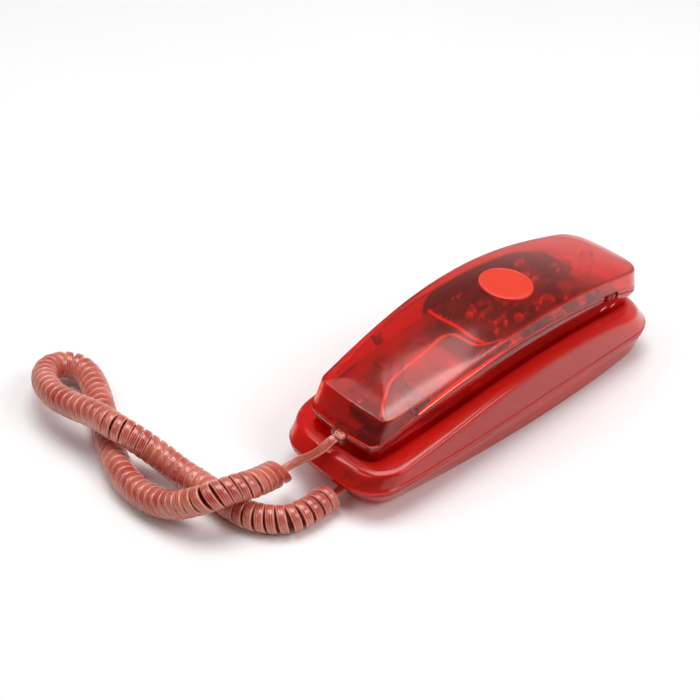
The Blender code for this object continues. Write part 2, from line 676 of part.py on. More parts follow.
def handset_inside():
    width, length, height = PLUG
    jack("handset_jack", HANDSET_JACK, HANDSET_JACK_SIZE, (width + 0.8, 12.8, height + 0.8),
         (0, HANDSET_PLUG_Y + 0.2, HANDSET_JACK[2]))
    box("handset_weight", (12.9, -81, 30.5), (10, 14, 8), STEEL, bevel=0.6)
    badge_z = BADGE_FLOOR + GAP + BADGE_THICK / 2
    badge = cylinder("back_badge", (0, BADGE_Y, badge_z), 1.0 / MM, BADGE_THICK, RED_BADGE, sides=32)
    make_oval(badge, BADGE_SIZE[0] / 2, BADGE_SIZE[1] / 2)
    for i, y in enumerate(HANDSET_SCREW_Y, 1):
        screw(f"handset_screw_{i}", 0, y, face_height(y) - 0.6, HANDSET_BOSS_FOOT + 6 - face_height(y))
    top = BOARD_BOTTOM + BOARD_THICK + 1.4
    wire("microphone_wires", smooth_route(((20, -70, 36), (14, -62, 43), (6, -52, 46), (-3, -41, 46),
                                           (-9, -24, 45), (-8, -17, 43), (-6, -12, top)), 5), 0.7, CREAM)
    wire("jack_wires", smooth_route(((-6, -72.5, 33), (-9, -66, 40), (-12, -55, 45), (-17, -40, 46),
                                     (-19, -28, 43), (-18, -22, top)), 5), 0.7, CREAM)
    wire("receiver_wires", smooth_route(((-22.9, 66, 36), (-23, 62, 40), (-19, 56, 42.5), (-15, 50, 42),
                                         (-14, 45, top)), 4), 0.7, CREAM)


tray("base_bottom_shell", RIM[1])
tray("connector_cover", RIM[0])
deck_shell()
rubber_feet()
base_inside()
cord()
handset_back()
handset_face()
keys()
hook_button()
boards()
transducers()
ringer_switch()
handset_inside()
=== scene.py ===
"""Slimline wall telephone in translucent red plastic, with its curly cord, on a pale studio floor.
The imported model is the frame; the shells, cord, badge, keys and electronics are made finer here.
Sizes are in millimetres and become metres in the meshes.
"""

import math

import bmesh
import bpy
import numpy as np
from mathutils import Matrix, Vector


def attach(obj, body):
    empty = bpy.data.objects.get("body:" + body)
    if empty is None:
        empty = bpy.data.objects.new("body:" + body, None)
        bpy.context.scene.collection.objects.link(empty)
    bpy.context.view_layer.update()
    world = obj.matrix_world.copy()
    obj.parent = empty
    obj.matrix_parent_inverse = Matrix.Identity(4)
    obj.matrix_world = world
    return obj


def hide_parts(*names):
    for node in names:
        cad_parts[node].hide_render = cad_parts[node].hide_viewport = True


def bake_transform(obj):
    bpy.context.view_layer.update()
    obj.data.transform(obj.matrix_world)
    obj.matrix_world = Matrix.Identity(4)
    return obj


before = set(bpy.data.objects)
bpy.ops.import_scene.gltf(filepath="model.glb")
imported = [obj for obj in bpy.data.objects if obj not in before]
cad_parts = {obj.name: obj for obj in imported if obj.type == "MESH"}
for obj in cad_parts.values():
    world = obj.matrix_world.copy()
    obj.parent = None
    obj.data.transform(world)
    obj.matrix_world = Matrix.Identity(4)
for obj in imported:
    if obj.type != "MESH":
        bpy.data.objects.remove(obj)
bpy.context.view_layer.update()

MM = 0.001
UP = Vector((0, 0, 1))
GAP = 0.3
LINE_GAP = 0.27                 # half the thin dark line that shows where two shells meet
WALL = 2.0

# ---------------------------------------------------------------- the phone's lines
# As in the solids, except that the far ends of the handset and the cradle lie a little further out
# and the badge is a little smaller.

STATIONS = (-108, -60, 0, 60, 108)
RIM_HALF_WIDTH = (33.5, 36.2, 36.6, 36.3, 36.0)
FLOOR_HALF_WIDTH = (21.9, 29.4, 33.9, 33.6, 29.0)
DECK_HEIGHT = (23.7, 29.8, 36.7, 34.4, 25.6)
SEAM_HALF_WIDTH = (20.5, 27.6, 30.6, 28.9, 24.3)
SEAM_HEIGHT = (25.6, 47.3, 55.1, 48.4, 31.8)
BACK_HEIGHT = (45.5, 52.8, 62.1, 57.7, 46.4)
FACE_HEIGHT = (16.5, 22.0, 29.5, 25.0, 15.5)

# Outlines: near end, far end, and the corner radius at each
RIM = (-108, 108, 18.3, 19.7)
FLOOR = (-97.5, 102, 15.2, 16.5)
DECK = (-102.7, 100.5, 18.8, 23.0)
SEAM = (-95.8, 105.9, 6.5, 17.8)
BACK = (-88.6, 102.0, 5.0, 13.5)
FACE = (-93.0, 88.0, 8.0, 15.0)
CRADLE = (-96.6, 98.7, 8.0, 16.5)

END_BOW = 0.8
SIDE_STEPS = 26
CORNER_STEPS = 8
RIM_HEIGHT = 15.7
TRAY_BOTTOM = 1.0
BACK_SHARE = 0.954
FACE_INSET = 6.0
FACE_ROUND = 2.0
CRADLE_GAP = 1.7
CRADLE_DEPTH = 3.0

KEY_PITCH = (12.6, 11.0)
KEY_SIZE = (9.4, 6.8)
KEY_PROUD = 1.4
KEY_TOP = 32.5
KEY_FLARE = 0.12
PRINT_SIZE = 4.6
KEYPAD_Y = -3.0
FUNCTION_KEY_Y = -35.0
FUNCTION_KEY_X = 9.5
HOOK_Y = 34.0
HOOK_SIZE = (6.0, 5.0)
HOOK_POST = (8.0, 5.0)
HOOK_POST_TOP = 27.9

PLUG = (7.7, 12.0, 6.4)
PLUG_PLAY = 0.9
CONTACT_PITCH = 1.27
HANDSET_PLUG = (0.0, -91.8, 31.0)
BASE_PLUG = (9.2, -94.4, 7.6)
LINE_JACK = (0.0, 93.6, 7.4)
RINGER_Y = 70.0
RINGER_SLOT = (14.0, 3.6)
BADGE_Y = 18.5
BADGE_SIZE = (29.8, 25.2)
BADGE_FLOOR = 63.5
RECEIVER_Y = 62.0
MIC_Y = -68.0
KEYHOLE_Y = (-50, 50)
KEYHOLE_RADIUS = 4.2
KEYHOLE_SLOT = (5.0, 11.0)
BASE_SCREW_Y = (-72, 72)
HANDSET_SCREW_Y = (-58, 83)
HANDSET_BOSS_FOOT = 30.0
SCREW_RADIUS = 1.4
SCREW_HEAD_RADIUS = 3.2
EAR_HOLE_RADIUS = 0.9
MIC_HOLE_RADIUS = 0.8
BOARD_TOP = 39.1
CARD_TOP = 47.2

# ---------------------------------------------------------------- cord

COIL_RADIUS = 5.9               # middle of the flat wire from the coil's own centre
PITCH = 4.6
OPEN_PITCH = 5.25               # where the coil is pulled out a little, near the base
OPEN_FROM = 370.0
OPEN_OVER = 40.0
LOOSE_PITCH = 9.0               # the first turn at the handset's end is an open loop
LOOSE_LENGTH = 9.0
WIND_IN = 4.5                   # the straight leads wind up to the coil's radius over these lengths
WIND_OUT = 4.0
COIL_LEAN = 2.4                 # the turns' tops lean along the coil near the handset
COIL_LEAN_FADE = 50.0
LOOSE_LEAN = 3.0
FIRST_TURN = 0.6 * math.pi
STEPS_PER_TURN = 24
COIL_STEP = 0.5                 # spacing of the places worked out along the coil's route
LEAD_STEP = 0.9
LEAD_OUTWARD = Vector((0.45, -0.2, 1.0)).normalized()   # the ribbed face of the lead looks this way
COIL_ROUTE = (
    (-12.9, -120.4, 16.0), (-12, -126.5, 17.5), (-10.2, -140.2, 21.5), (-12.5, -151.7, 23),
    (-16.5, -161.8, 21.8), (-24.1, -167.9, 17), (-33.5, -171.6, 11.5), (-44.4, -174.1, 8.5),
    (-57.5, -174.9, 7.3), (-71, -173, 7.2), (-84.7, -168.4, 7.2), (-98, -162.9, 7.2),
    (-108.6, -156.7, 7.2), (-123.2, -149, 7.2), (-136.3, -143.3, 7.3), (-147, -140.5, 7.8),
    (-155.5, -142, 9), (-160, -149, 10.8), (-157.5, -157.5, 13), (-147.5, -165, 15.5),
    (-133, -169, 18), (-118, -168.8, 20.2), (-102, -166.2, 22.4), (-86.2, -164.1, 22.4),
    (-74.7, -159.7, 18.5), (-63.4, -155.2, 13), (-51.7, -152.4, 8.7), (-40.8, -150.2, 7.3),
    (-29.7, -149.5, 7.2), (-17.9, -148.3, 7.2), (-8.3, -146.7, 7.2), (-0.2, -142.6, 7.2),
    (6.9, -135, 7.2), (9.4, -124.6, 7.2), (9.2, -112.8, 7.2), (9.2, -108.3, 7.2),
)
HANDSET_LEAD_ROUTE = (
    (0, -98.3, 31.0), (-0.3, -101.5, 30.2), (-1.6, -105.3, 27.2), (-4.6, -108.6, 23.6),
    (-8.4, -111.6, 20.4), (-11.3, -115.2, 17.8), (-12.6, -118.9, 16.5),
)
BASE_LEAD_ROUTE = ((9.2, -107.6, 7.2), (9.2, -104.4, 7.4), (9.2, -100.8, 7.6))

# Half the wire's cross-section: four conductors side by side give it its ribs.
WIRE_OUTER = ((-2.05, 0.55), (-1.72, 1.0), (-1.15, 0.90), (-0.6, 1.17), (0, 0.98), (0.6, 1.17),
              (1.15, 0.90), (1.72, 1.0), (2.05, 0.55))
WIRE_INNER = ((2.25, 0), (1.66, -1.05), (0, -0.95), (-1.66, -1.05), (-2.25, 0))


def profile(values):
    """A smooth curve along Y through the values at the stations."""
    return np.poly1d(np.polyfit(STATIONS, values, len(STATIONS) - 1))


rim_width = profile(RIM_HALF_WIDTH)
floor_width = profile(FLOOR_HALF_WIDTH)
deck_height = profile(DECK_HEIGHT)
seam_width = profile(SEAM_HALF_WIDTH)
seam_height = profile(SEAM_HEIGHT)
back_height = profile(BACK_HEIGHT)
face_height = profile(FACE_HEIGHT)


# ---------------------------------------------------------------- camera, floor and lights

CAMERA_PLACE = Vector((0.3919, -0.4550, 0.4865))
CAMERA_TURN = (46.94, 37.27)    # degrees round Z and down
CAMERA_LENS = 75.75
# Name, place and target in metres, size, watts
LIGHTS = (
    ("softbox_top", (-0.12, 0.10, 1.5), (0, 0, 0), (0.95, 0.8), 13.0),
    ("softbox_top_edge", (-0.52, 0.32, 1.25), (0, -0.02, 0.05), (0.34, 0.46), 1.15),
    ("softbox_left", (-0.78, -0.52, 1.2), (0, -0.08, 0.05), (0.36, 0.3), 1.8),
    ("softbox_fill", (-0.76, -0.10, 1.22), (0, -0.06, 0.05), (0.42, 0.5), 0.75),
    ("softbox_side", (1.3, 0.5, 1.4), (0, 0, 0.03), (1.0, 0.8), 13.5),
    ("softbox_front", (-0.4, -1.3, 1.5), (-0.02, -0.08, 0.02), (1.0, 0.7), 4.5),
)
# How bright the backdrop is by direction: axis, start and end on it, brightness at each
BACKDROP_FADES = (("Z", 0.22, 0.60, 0.66, 0.16), ("Y", -0.5, 0.3, 0.12, 1.0))
FLOOR_DROP = 0.0002
scene = bpy.context.scene
scene.view_settings.view_transform = "Standard"


def aim(obj, place, target):
    obj.location = Vector(place)
    obj.rotation_euler = (Vector(target) - Vector(place)).to_track_quat("-Z", "Y").to_euler()


def make_camera():
    round_z, down = (math.radians(angle) for angle in CAMERA_TURN)
    data = bpy.data.cameras.new("camera")
    data.lens = CAMERA_LENS
    data.sensor_width = 36.0
    camera = bpy.data.objects.new("camera", data)
    scene.collection.objects.link(camera)
    level_way = Vector((-math.sin(round_z), math.cos(round_z), 0))
    aim(camera, CAMERA_PLACE, CAMERA_PLACE + level_way * math.cos(down) - UP * math.sin(down))
    scene.camera = camera


def area_light(name, place, target, size, power):
    data = bpy.data.lights.new(name, "AREA")
    data.shape = "RECTANGLE"
    data.size, data.size_y = size
    data.energy = power
    lamp = bpy.data.objects.new(name, data)
    scene.collection.objects.link(lamp)
    aim(lamp, place, target)


def make_studio():
    world = bpy.data.worlds.new("studio")
    scene.world = world
    world.use_nodes = True
    tree = world.node_tree
    # a white backdrop glows low behind the phone; the room above it and in front of it is dim
    apart = add_node(tree, "SeparateXYZ", {"Vector": add_node(tree, "TexCoord").outputs["Generated"]})
    fades = [map_range(tree, apart.outputs[axis], *fade) for axis, *fade in BACKDROP_FADES]
    glow = add_node(tree, "Math", dict(enumerate(fades)), operation="MULTIPLY").outputs["Value"]
    feed(tree, tree.nodes["Background"], {"Color": (1.0, 1.0, 1.0, 1), "Strength": glow})
    for light in LIGHTS:
        area_light(*light)
    bm = bmesh.new()
    bmesh.ops.create_grid(bm, x_segments=2, y_segments=2, size=3.0)
    floor = add_object("floor", finish_mesh(bm, "floor"), plain_floor())
    floor.location.z = -FLOOR_DROP


# ---------------------------------------------------------------- materials

def new_material(name):
    made = bpy.data.materials.new(name)
    made.use_nodes = True
    tree = made.node_tree
    return made, tree, tree.nodes["Principled BSDF"], tree.nodes["Material Output"]


def feed(tree, node, values):
    """Sets the node's inputs: links where the value is another node's output."""
    for key, value in values.items():
        if isinstance(value, bpy.types.NodeSocket):
            tree.links.new(value, node.inputs[key])
        else:
            node.inputs[key].default_value = value


def add_node(tree, kind, values=None, **settings):
    made = tree.nodes.new("ShaderNode" + kind)
    for key, value in settings.items():
        setattr(made, key, value)
    feed(tree, made, values or {})
    return made


def own_place(tree):
    """The place on the object, in its own metres."""
    return add_node(tree, "TexCoord").outputs["Object"]


def noise(tree, scale, detail=3.0, stretch=(1, 1, 1)):
    mapping = add_node(tree, "Mapping", {"Vector": own_place(tree), "Scale": stretch})
    place = mapping.outputs["Vector"]
    return add_node(tree, "TexNoise", {"Vector": place, "Scale": scale, "Detail": detail}).outputs["Fac"]


def map_range(tree, source, start, end, low=0.0, high=1.0):
    return add_node(tree, "MapRange", {
        "Value": source, "From Min": start, "From Max": end, "To Min": low, "To Max": high,
    }).outputs["Result"]


def spread(tree, source, low, high):
    return map_range(tree, source, 0.3, 0.7, low, high)


def mix_colour(tree, factor, first, second):
    """A mix of two colours, each given as three numbers or as another node's output."""
    first, second = ((*c, 1) if isinstance(c, tuple) else c for c in (first, second))
    made = add_node(tree, "Mix", data_type="RGBA")
    feed(tree, made, {"Factor": factor, "A": first, "B": second})
    return made.outputs["Result"]


def bump(tree, source, strength, distance=0.0002):
    return add_node(tree, "Bump", {
        "Height": source, "Strength": strength, "Distance": distance,
    }).outputs["Normal"]


def plain_floor():
    made, tree, shader, _ = new_material("floor_white")
    feed(tree, shader, {
        "Base Color": mix_colour(tree, spread(tree, noise(tree, 6.0), 0, 1), (0.95,) * 3, (0.97,) * 3),
        "Roughness": 0.9,
        "Specular IOR Level": 0.1,
    })
    return made


def clear_plastic(name, tint, lamp_tint, clear, rough=(0.05, 0.12), ripple_scale=240, ior=1.49, sheen=0.0):
    """Tinted plastic that one sees into; lamps reach through it to what is inside."""
    made, tree, shader, output = new_material(name)
    darker = tuple(0.93 * c for c in tint)
    feed(tree, shader, {
        "Base Color": mix_colour(tree, spread(tree, noise(tree, 38.0, 2.0), 0, 1), tint, darker),
        "Roughness": spread(tree, noise(tree, 160.0, 4.0), *rough),
        "Normal": bump(tree, noise(tree, ripple_scale, 2.0), 0.05),
        "Transmission Weight": clear,
        "IOR": ior,
        "Coat Weight": sheen,
        "Coat Roughness": 0.28,
    })
    through = add_node(tree, "BsdfTransparent", {"Color": (*lamp_tint, 1)}).outputs["BSDF"]
    shadow = add_node(tree, "LightPath").outputs["Is Shadow Ray"]
    mix = add_node(tree, "MixShader", {0: shadow, 1: shader.outputs["BSDF"], 2: through})
    feed(tree, output, {"Surface": mix.outputs["Shader"]})
    return made


def solid(name, first, second, rough=(0.35, 0.5), metal=0.0, scale=300.0, relief=0.1, coat=0.0,
          stretch=(1, 1, 1)):
    """An opaque finish whose colour, roughness and grain vary a little."""
    made, tree, shader, _ = new_material(name)
    grain = noise(tree, scale, 4.0, stretch)
    feed(tree, shader, {
        "Base Color": mix_colour(tree, spread(tree, grain, 0, 1), first, second),
        "Roughness": spread(tree, noise(tree, scale * 0.4, 3.0, stretch), *rough),
        "Normal": bump(tree, grain, relief, 0.0001),
        "Metallic": metal,
        "Coat Weight": coat,
    })
    return made


def cord_plastic():
    """The flat wire's jacket: red in the grooves, paler over the conductors that show through it, and with a
    painted highlight along the wire's edges and ridges.
    """
    made, tree, shader, _ = new_material("cord_jacket")
    # paleness along the wire: partly the conductors showing through, partly a painted highlight on its edges
    # and ridges
    pale_and_highlight = add_node(tree, "Attribute", attribute_name="pale_and_highlight").outputs["Fac"]
    blotch = spread(tree, noise(tree, 70.0, 3.0), -0.25, 0.25)
    total = add_node(tree, "Math", {0: pale_and_highlight, 1: blotch}, operation="ADD", use_clamp=True)
    feed(tree, shader, {
        "Base Color": mix_colour(tree, total.outputs["Value"], (0.40, 0.017, 0.012), (0.86, 0.34, 0.23)),
        "Roughness": spread(tree, noise(tree, 500.0, 3.0), 0.24, 0.38),
        "Normal": bump(tree, noise(tree, 1500.0, 2.0), 0.08, 0.0001),
        "Subsurface Weight": 0.25,
        "Subsurface Radius": (1.0, 0.3, 0.25),
        "Subsurface Scale": 0.0012,
        "Coat Weight": 0.7,
        "Coat Roughness": 0.16,
    })
    return made


def board_finish():
    """Dark laminate with copper tracks; its near end is mottled tan and dark."""
    made, tree, shader, _ = new_material("circuit_laminate")
    place = own_place(tree)
    tracks = add_node(tree, "TexBrick", {
        "Vector": place, "Color1": (0.040, 0.022, 0.014, 1), "Color2": (0.065, 0.030, 0.018, 1),
        "Mortar": (0.20, 0.09, 0.05, 1), "Scale": 1.0, "Mortar Size": 0.00028,
        "Brick Width": 0.0071, "Row Height": 0.0023,
    }).outputs["Color"]
    apart = add_node(tree, "SeparateXYZ", {"Vector": place})
    mottle = spread(tree, noise(tree, 75.0, 4.0), 0, 1)
    near_end = mix_colour(tree, mottle, (0.46, 0.14, 0.09), (0.07, 0.03, 0.022))
    feed(tree, shader, {
        "Base Color": mix_colour(tree, map_range(tree, apart.outputs["Y"], -0.021, -0.018), near_end, tracks),
        "Roughness": spread(tree, noise(tree, 200.0), 0.3, 0.5),
        "Normal": bump(tree, noise(tree, 900.0), 0.15),
    })
    return made


SHELL_LAMP = (0.80, 0.23, 0.18)
SHELL = clear_plastic("red_clear_shell", (0.97, 0.105, 0.058), SHELL_LAMP, rough=(0.09, 0.15), clear=0.96,
                      sheen=0.15)
BOSS_CLEAR = clear_plastic("red_clear_boss", (0.94, 0.3, 0.25), SHELL_LAMP, rough=(0.15, 0.25), clear=1.0,
                           ior=1.1)
FACE_RED = clear_plastic("red_clear_face", (0.74, 0.018, 0.013), (0.85, 0.12, 0.10), clear=0.88)
BASE_RED = clear_plastic("red_clear_base", (0.93, 0.045, 0.028), (0.36, 0.20, 0.19), rough=(0.08, 0.14),
                         clear=0.74, ior=1.42, sheen=0.1)
RIB_RED = clear_plastic("red_clear_rib", (0.42, 0.018, 0.014), (0.75, 0.12, 0.10), clear=0.5)
BADGE_RED = solid("badge_enamel", (0.84, 0.052, 0.022), (0.80, 0.046, 0.020), rough=(0.26, 0.3), coat=0.3,
                  scale=60, relief=0.04)
CORD = cord_plastic()
PLUG_CLEAR = clear_plastic("plug_clear", (0.90, 0.50, 0.44), (0.96, 0.8, 0.75), clear=0.92, ripple_scale=600)
# painted shade: the black of the sheet that stands for the shade along the handset's left wall
SHADE_SHEET_BLACK = solid("painted_shade_black", (0.030, 0.018, 0.014), (0.060, 0.032, 0.024), rough=(0.7, 0.9), relief=0.25)
DEEP_RED = solid("deep_red_moulding", (0.20, 0.018, 0.014), (0.28, 0.026, 0.020), rough=(0.3, 0.45))
DARK_IRON = solid("dark_iron", (0.060, 0.040, 0.032), (0.11, 0.07, 0.055), rough=(0.4, 0.6), scale=500)
BLACK = solid("black_moulding", (0.020, 0.016, 0.015), (0.032, 0.026, 0.024), rough=(0.6, 0.75))
LAMINATE = board_finish()
STEEL = solid("zinc_steel", (0.50, 0.50, 0.51), (0.62, 0.62, 0.64), rough=(0.25, 0.4), metal=1.0,
              stretch=(1, 8, 1))
BRASS = solid("brass_disc", (0.70, 0.50, 0.20), (0.78, 0.58, 0.28), rough=(0.25, 0.38), metal=1.0)
GOLD = solid("gold_contacts", (0.95, 0.72, 0.36), (0.98, 0.78, 0.42), rough=(0.15, 0.25), metal=1.0)
KEY_WHITE = solid("key_cream", (0.80, 0.76, 0.71), (0.84, 0.80, 0.76), rough=(0.3, 0.42), scale=800)
KEY_INK = solid("key_print", (0.05, 0.045, 0.045), (0.07, 0.06, 0.06))
RUBBER = solid("black_rubber", (0.030, 0.028, 0.028), (0.050, 0.046, 0.046), rough=(0.7, 0.88), relief=0.3)
MEMBRANE = solid("rubber_sheet", (0.36, 0.34, 0.32), (0.42, 0.40, 0.38), rough=(0.6, 0.8))
CREAM = solid("cream_parts", (0.72, 0.58, 0.42), (0.80, 0.68, 0.52), rough=(0.35, 0.5))
ORANGE = solid("orange_parts", (0.86, 0.24, 0.06), (0.92, 0.34, 0.10), rough=(0.25, 0.4), coat=0.4)
BLUE = solid("blue_sleeve", (0.05, 0.10, 0.30), (0.08, 0.14, 0.38), rough=(0.25, 0.35), coat=0.4)
BROWN = solid("brown_band", (0.16, 0.06, 0.03), (0.20, 0.08, 0.04))
SOLDER = solid("solder_tin", (0.72, 0.72, 0.72), (0.84, 0.84, 0.84), rough=(0.2, 0.35), metal=1.0)
WIRE_WHITE = solid("white_wire", (0.88, 0.84, 0.80), (0.94, 0.91, 0.88), rough=(0.35, 0.45))
WIRE_RED = solid("red_wire", (0.70, 0.10, 0.06), (0.78, 0.14, 0.09), rough=(0.35, 0.45))
MARK_WHITE = solid("pale_mark", (0.85, 0.75, 0.72), (0.92, 0.84, 0.80), rough=(0.5, 0.6))


# ---------------------------------------------------------------- mesh helpers

def add_object(name, mesh, *materials):
    obj = bpy.data.objects.new(name, mesh)
    scene.collection.objects.link(obj)
    for made in materials:
        mesh.materials.append(made)
    return obj


def dress(obj, body, slot, *nodes):
    """Hides the solids that the piece stands for and attaches the piece to the body that it moves with. The
    finish slot is not used.
    """
    if nodes:
        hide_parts(*nodes)
    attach(obj, body)


def piece(name, bm, body, slot, *materials, nodes=(), angle=30):
    """An object made of the mesh, dressed for the body that it moves with."""
    obj = add_object(name, finish_mesh(bm, name, angle), *materials)
    dress(obj, body, slot, *nodes)
    return obj


def finish_mesh(bm, name, smooth_angle=30):
    bmesh.ops.recalc_face_normals(bm, faces=bm.faces)
    mesh = bpy.data.meshes.new(name)
    bm.to_mesh(mesh)
    bm.free()
    mesh.shade_smooth()
    mesh.set_sharp_from_angle(angle=math.radians(smooth_angle))
    return mesh


def half_outline(width, ends, height, inset=0.0):
    """Points round the +X half of a boat-shaped outline, from its near end on x = 0 to its far end."""
    near, far, near_corner, far_corner = ends
    near, far = near + inset, far - inset
    near_corner, far_corner = max(1, near_corner - inset), max(1, far_corner - inset)
    first, last = near + END_BOW + near_corner, far - END_BOW - far_corner
    edge = width(first) - inset - near_corner
    points = [(edge * t, near + END_BOW * t * t) for t in (0, 0.25, 0.5, 0.75)]
    for turn in np.linspace(0, math.pi / 2, CORNER_STEPS):
        points.append((edge + near_corner * math.sin(turn), first - near_corner * math.cos(turn)))
    for y in np.linspace(first, last, SIDE_STEPS)[1:-1]:
        points.append((width(y) - inset, y))
    edge = width(last) - inset - far_corner
    for turn in np.linspace(math.pi / 2, 0, CORNER_STEPS):
        points.append((edge + far_corner * math.sin(turn), last + far_corner * math.cos(turn)))
    points += [(edge * t, far - END_BOW * t * t) for t in (0.75, 0.5, 0.25, 0)]
    return [Vector((x, y, height(y) if callable(height) else height)) for x, y in points]


def raised(line, rise):
    return lambda y: line(y) + rise


def between(first, second, share):
    return [a.lerp(b, share) for a, b in zip(first, second)]


def moved(outline, rise):
    return [Vector((p.x, p.y, p.z + rise)) for p in outline]


def scaled(outline, across, lengthwise=1.0, height=None):
    """The outline drawn in or out, and laid on the height line if one is given."""
    ring = [Vector((p.x * across, p.y * lengthwise, p.z)) for p in outline]
    for p in ring if height else ():
        p.z = height(p.y)
    return ring


def level(height):
    return lambda y: height


def rounded(first, corner, last, count):
    """Outlines that turn from the first to the last round the corner outline."""
    rings = []
    for t in np.linspace(0, 1, count):
        rings.append([
            a * (1 - t) ** 2 + b * 2 * t * (1 - t) + c * t ** 2
            for a, b, c in zip(first, corner, last)
        ])
    return rings


def loft(rings, close_last=True, close_first=False):
    """A surface through half outlines and their mirror images, its end closed across by strips."""
    bm = bmesh.new()
    loops = []
    for ring in rings:
        right = [bm.verts.new(p * MM) for p in ring]
        left = [bm.verts.new(Vector((-p.x, p.y, p.z)) * MM) for p in ring[1:-1]]
        loops.append(right + left[::-1])
    count = len(loops[0])
    for lower, upper in zip(loops, loops[1:]):
        for i in range(count):
            j = (i + 1) % count
            bm.faces.new((lower[i], lower[j], upper[j], upper[i]))
    half = len(rings[0])
    for loop, wanted in ((loops[0], close_first), (loops[-1], close_last)):
        if not wanted:
            continue
        right = loop[:half]
        left = [right[0]] + loop[half:][::-1] + [right[-1]]
        bm.faces.new((right[0], right[1], left[1]))
        bm.faces.new((right[-1], left[-2], right[-2]))
        for i in range(1, half - 2):
            bm.faces.new((right[i], right[i + 1], left[i + 1], left[i]))
    return bm


def settle(obj):
    """Replaces the object's modifiers by the mesh they make."""
    seen = obj.evaluated_get(bpy.context.evaluated_depsgraph_get())
    mesh = bpy.data.meshes.new_from_object(seen)
    obj.modifiers.clear()
    obj.data = mesh


def shell_object(name, bm, finish):
    """An object whose surface is thickened inward by the wall."""
    obj = add_object(name, finish_mesh(bm, name, 60), finish)
    mod = obj.modifiers.new("wall", "SOLIDIFY")
    mod.thickness = WALL * MM
    mod.offset = -1
    settle(obj)
    return obj


def cutter(mesh_maker, *args, **kwargs):
    """A helper solid for cutting or joining; it is removed once used."""
    return add_object("helper", mesh_maker("helper", *args, **kwargs))


def bore(x, y, z, radius, length, sides=24):
    """A round cutter that stands upright."""
    return cutter(rod_mesh, (x, y, z), radius, length, sides)


def combine(obj, helpers, operation):
    """Cuts the helpers out of the object, or joins them to it, one by one."""
    for helper in helpers:
        mod = obj.modifiers.new("helper", "BOOLEAN")
        mod.operation = operation
        mod.object = helper
        mod.solver = "MANIFOLD"
        bpy.context.view_layer.update()
        settle(obj)
        bpy.data.objects.remove(helper, do_unlink=True)
    if len(obj.data.polygons) < 12:
        raise ValueError(f"{obj.name}: a cut left nothing")


def resharpen(obj):
    obj.data.shade_smooth()
    obj.data.set_sharp_from_angle(angle=math.radians(32))


def placed(centre, turn):
    spin = Matrix.Rotation(math.radians(turn[2]), 4, "Z") @ Matrix.Rotation(math.radians(turn[1]), 4, "Y")
    spin = spin @ Matrix.Rotation(math.radians(turn[0]), 4, "X")
    return Matrix.Translation(Vector(centre) * MM) @ spin


def rounded_and_placed(bm, verts, edges, bevel, segments, matrix, material):
    if bevel:
        verts = bmesh.ops.bevel(
            bm, geom=edges, offset=bevel * MM, segments=segments, affect="EDGES", profile=0.5,
        )["verts"]
    bmesh.ops.transform(bm, matrix=matrix, verts=verts)
    for face in {f for v in verts for f in v.link_faces}:
        face.material_index = material
    return verts


def block(bm, centre, size, bevel, segments=2, turn=(0, 0, 0), material=0):
    """Adds a box with rounded edges to the mesh."""
    verts = bmesh.ops.create_cube(bm, size=1.0)["verts"]
    for vert in verts:
        vert.co = Vector((vert.co.x * size[0], vert.co.y * size[1], vert.co.z * size[2])) * MM
    edges = list(set(e for v in verts for e in v.link_edges))
    return rounded_and_placed(bm, verts, edges, bevel, segments, placed(centre, turn), material)


def rod(bm, centre, radius, length, sides, turn=(0, 0, 0), bevel=0.0, material=0, top_radius=None):
    """Adds a round bar along its own Z to the mesh."""
    made = bmesh.ops.create_cone(
        bm, cap_ends=True, segments=sides, radius1=radius * MM,
        radius2=(radius if top_radius is None else top_radius) * MM, depth=length * MM,
    )
    verts = made["verts"]
    faces = set(f for v in verts for f in v.link_faces)
    rims = list(set(e for f in faces if len(f.verts) == sides for e in f.edges))
    return rounded_and_placed(bm, verts, rims, bevel, 2, placed(centre, turn), material)


def block_mesh(name, centre, size, bevel=0.0, turn=(0, 0, 0)):
    bm = bmesh.new()
    block(bm, centre, size, bevel, turn=turn)
    return finish_mesh(bm, name)


def rod_mesh(name, centre, radius, length, sides):
    bm = bmesh.new()
    rod(bm, centre, radius, length, sides, (0, 0, 7))
    return finish_mesh(bm, name)


def oval_mesh(name, centre, half_x, half_y, height):
    bm = bmesh.new()
    made = bmesh.ops.create_cone(bm, cap_ends=True, segments=64, radius1=1, radius2=1, depth=1)
    for vert in made["verts"]:
        vert.co = (Vector((vert.co.x * half_x, vert.co.y * half_y, vert.co.z * height)) + Vector(centre)) * MM
    return finish_mesh(bm, name)


def even_route(points, spacing):
    """Points at an even spacing along a Catmull-Rom curve through the route's points."""
    route = [2 * Vector(points[0]) - Vector(points[1])] + [Vector(p) for p in points]
    route.append(2 * Vector(points[-1]) - Vector(points[-2]))
    fine = []
    for i in range(1, len(route) - 2):
        p0, p1, p2, p3 = route[i - 1:i + 3]
        for t in np.linspace(0, 1, 24, endpoint=False):
            fine.append(0.5 * (
                2 * p1 + (p2 - p0) * t + (2 * p0 - 5 * p1 + 4 * p2 - p3) * t ** 2
                + (3 * p1 - p0 - 3 * p2 + p3) * t ** 3
            ))
    fine.append(route[-2])
    steps = [0.0]
    for a, b in zip(fine, fine[1:]):
        steps.append(steps[-1] + (b - a).length)
    count = max(2, round(steps[-1] / spacing) + 1)
    wanted = np.linspace(0, steps[-1], count)
    columns = [np.interp(wanted, steps, [p[axis] for p in fine]) for axis in range(3)]
    return [Vector(place) for place in zip(*columns)]


def heading(points, i):
    """The way that a path goes at its point i."""
    return (points[min(i + 1, len(points) - 1)] - points[max(i - 1, 0)]).normalized()


def squared(side, ahead):
    """The direction turned square to the way ahead."""
    return (side - ahead * side.dot(ahead)).normalized()


def swung(side, other, turn):
    """The direction that lies the turn away from the side, towards the other."""
    return side * math.cos(turn) + other * math.sin(turn)


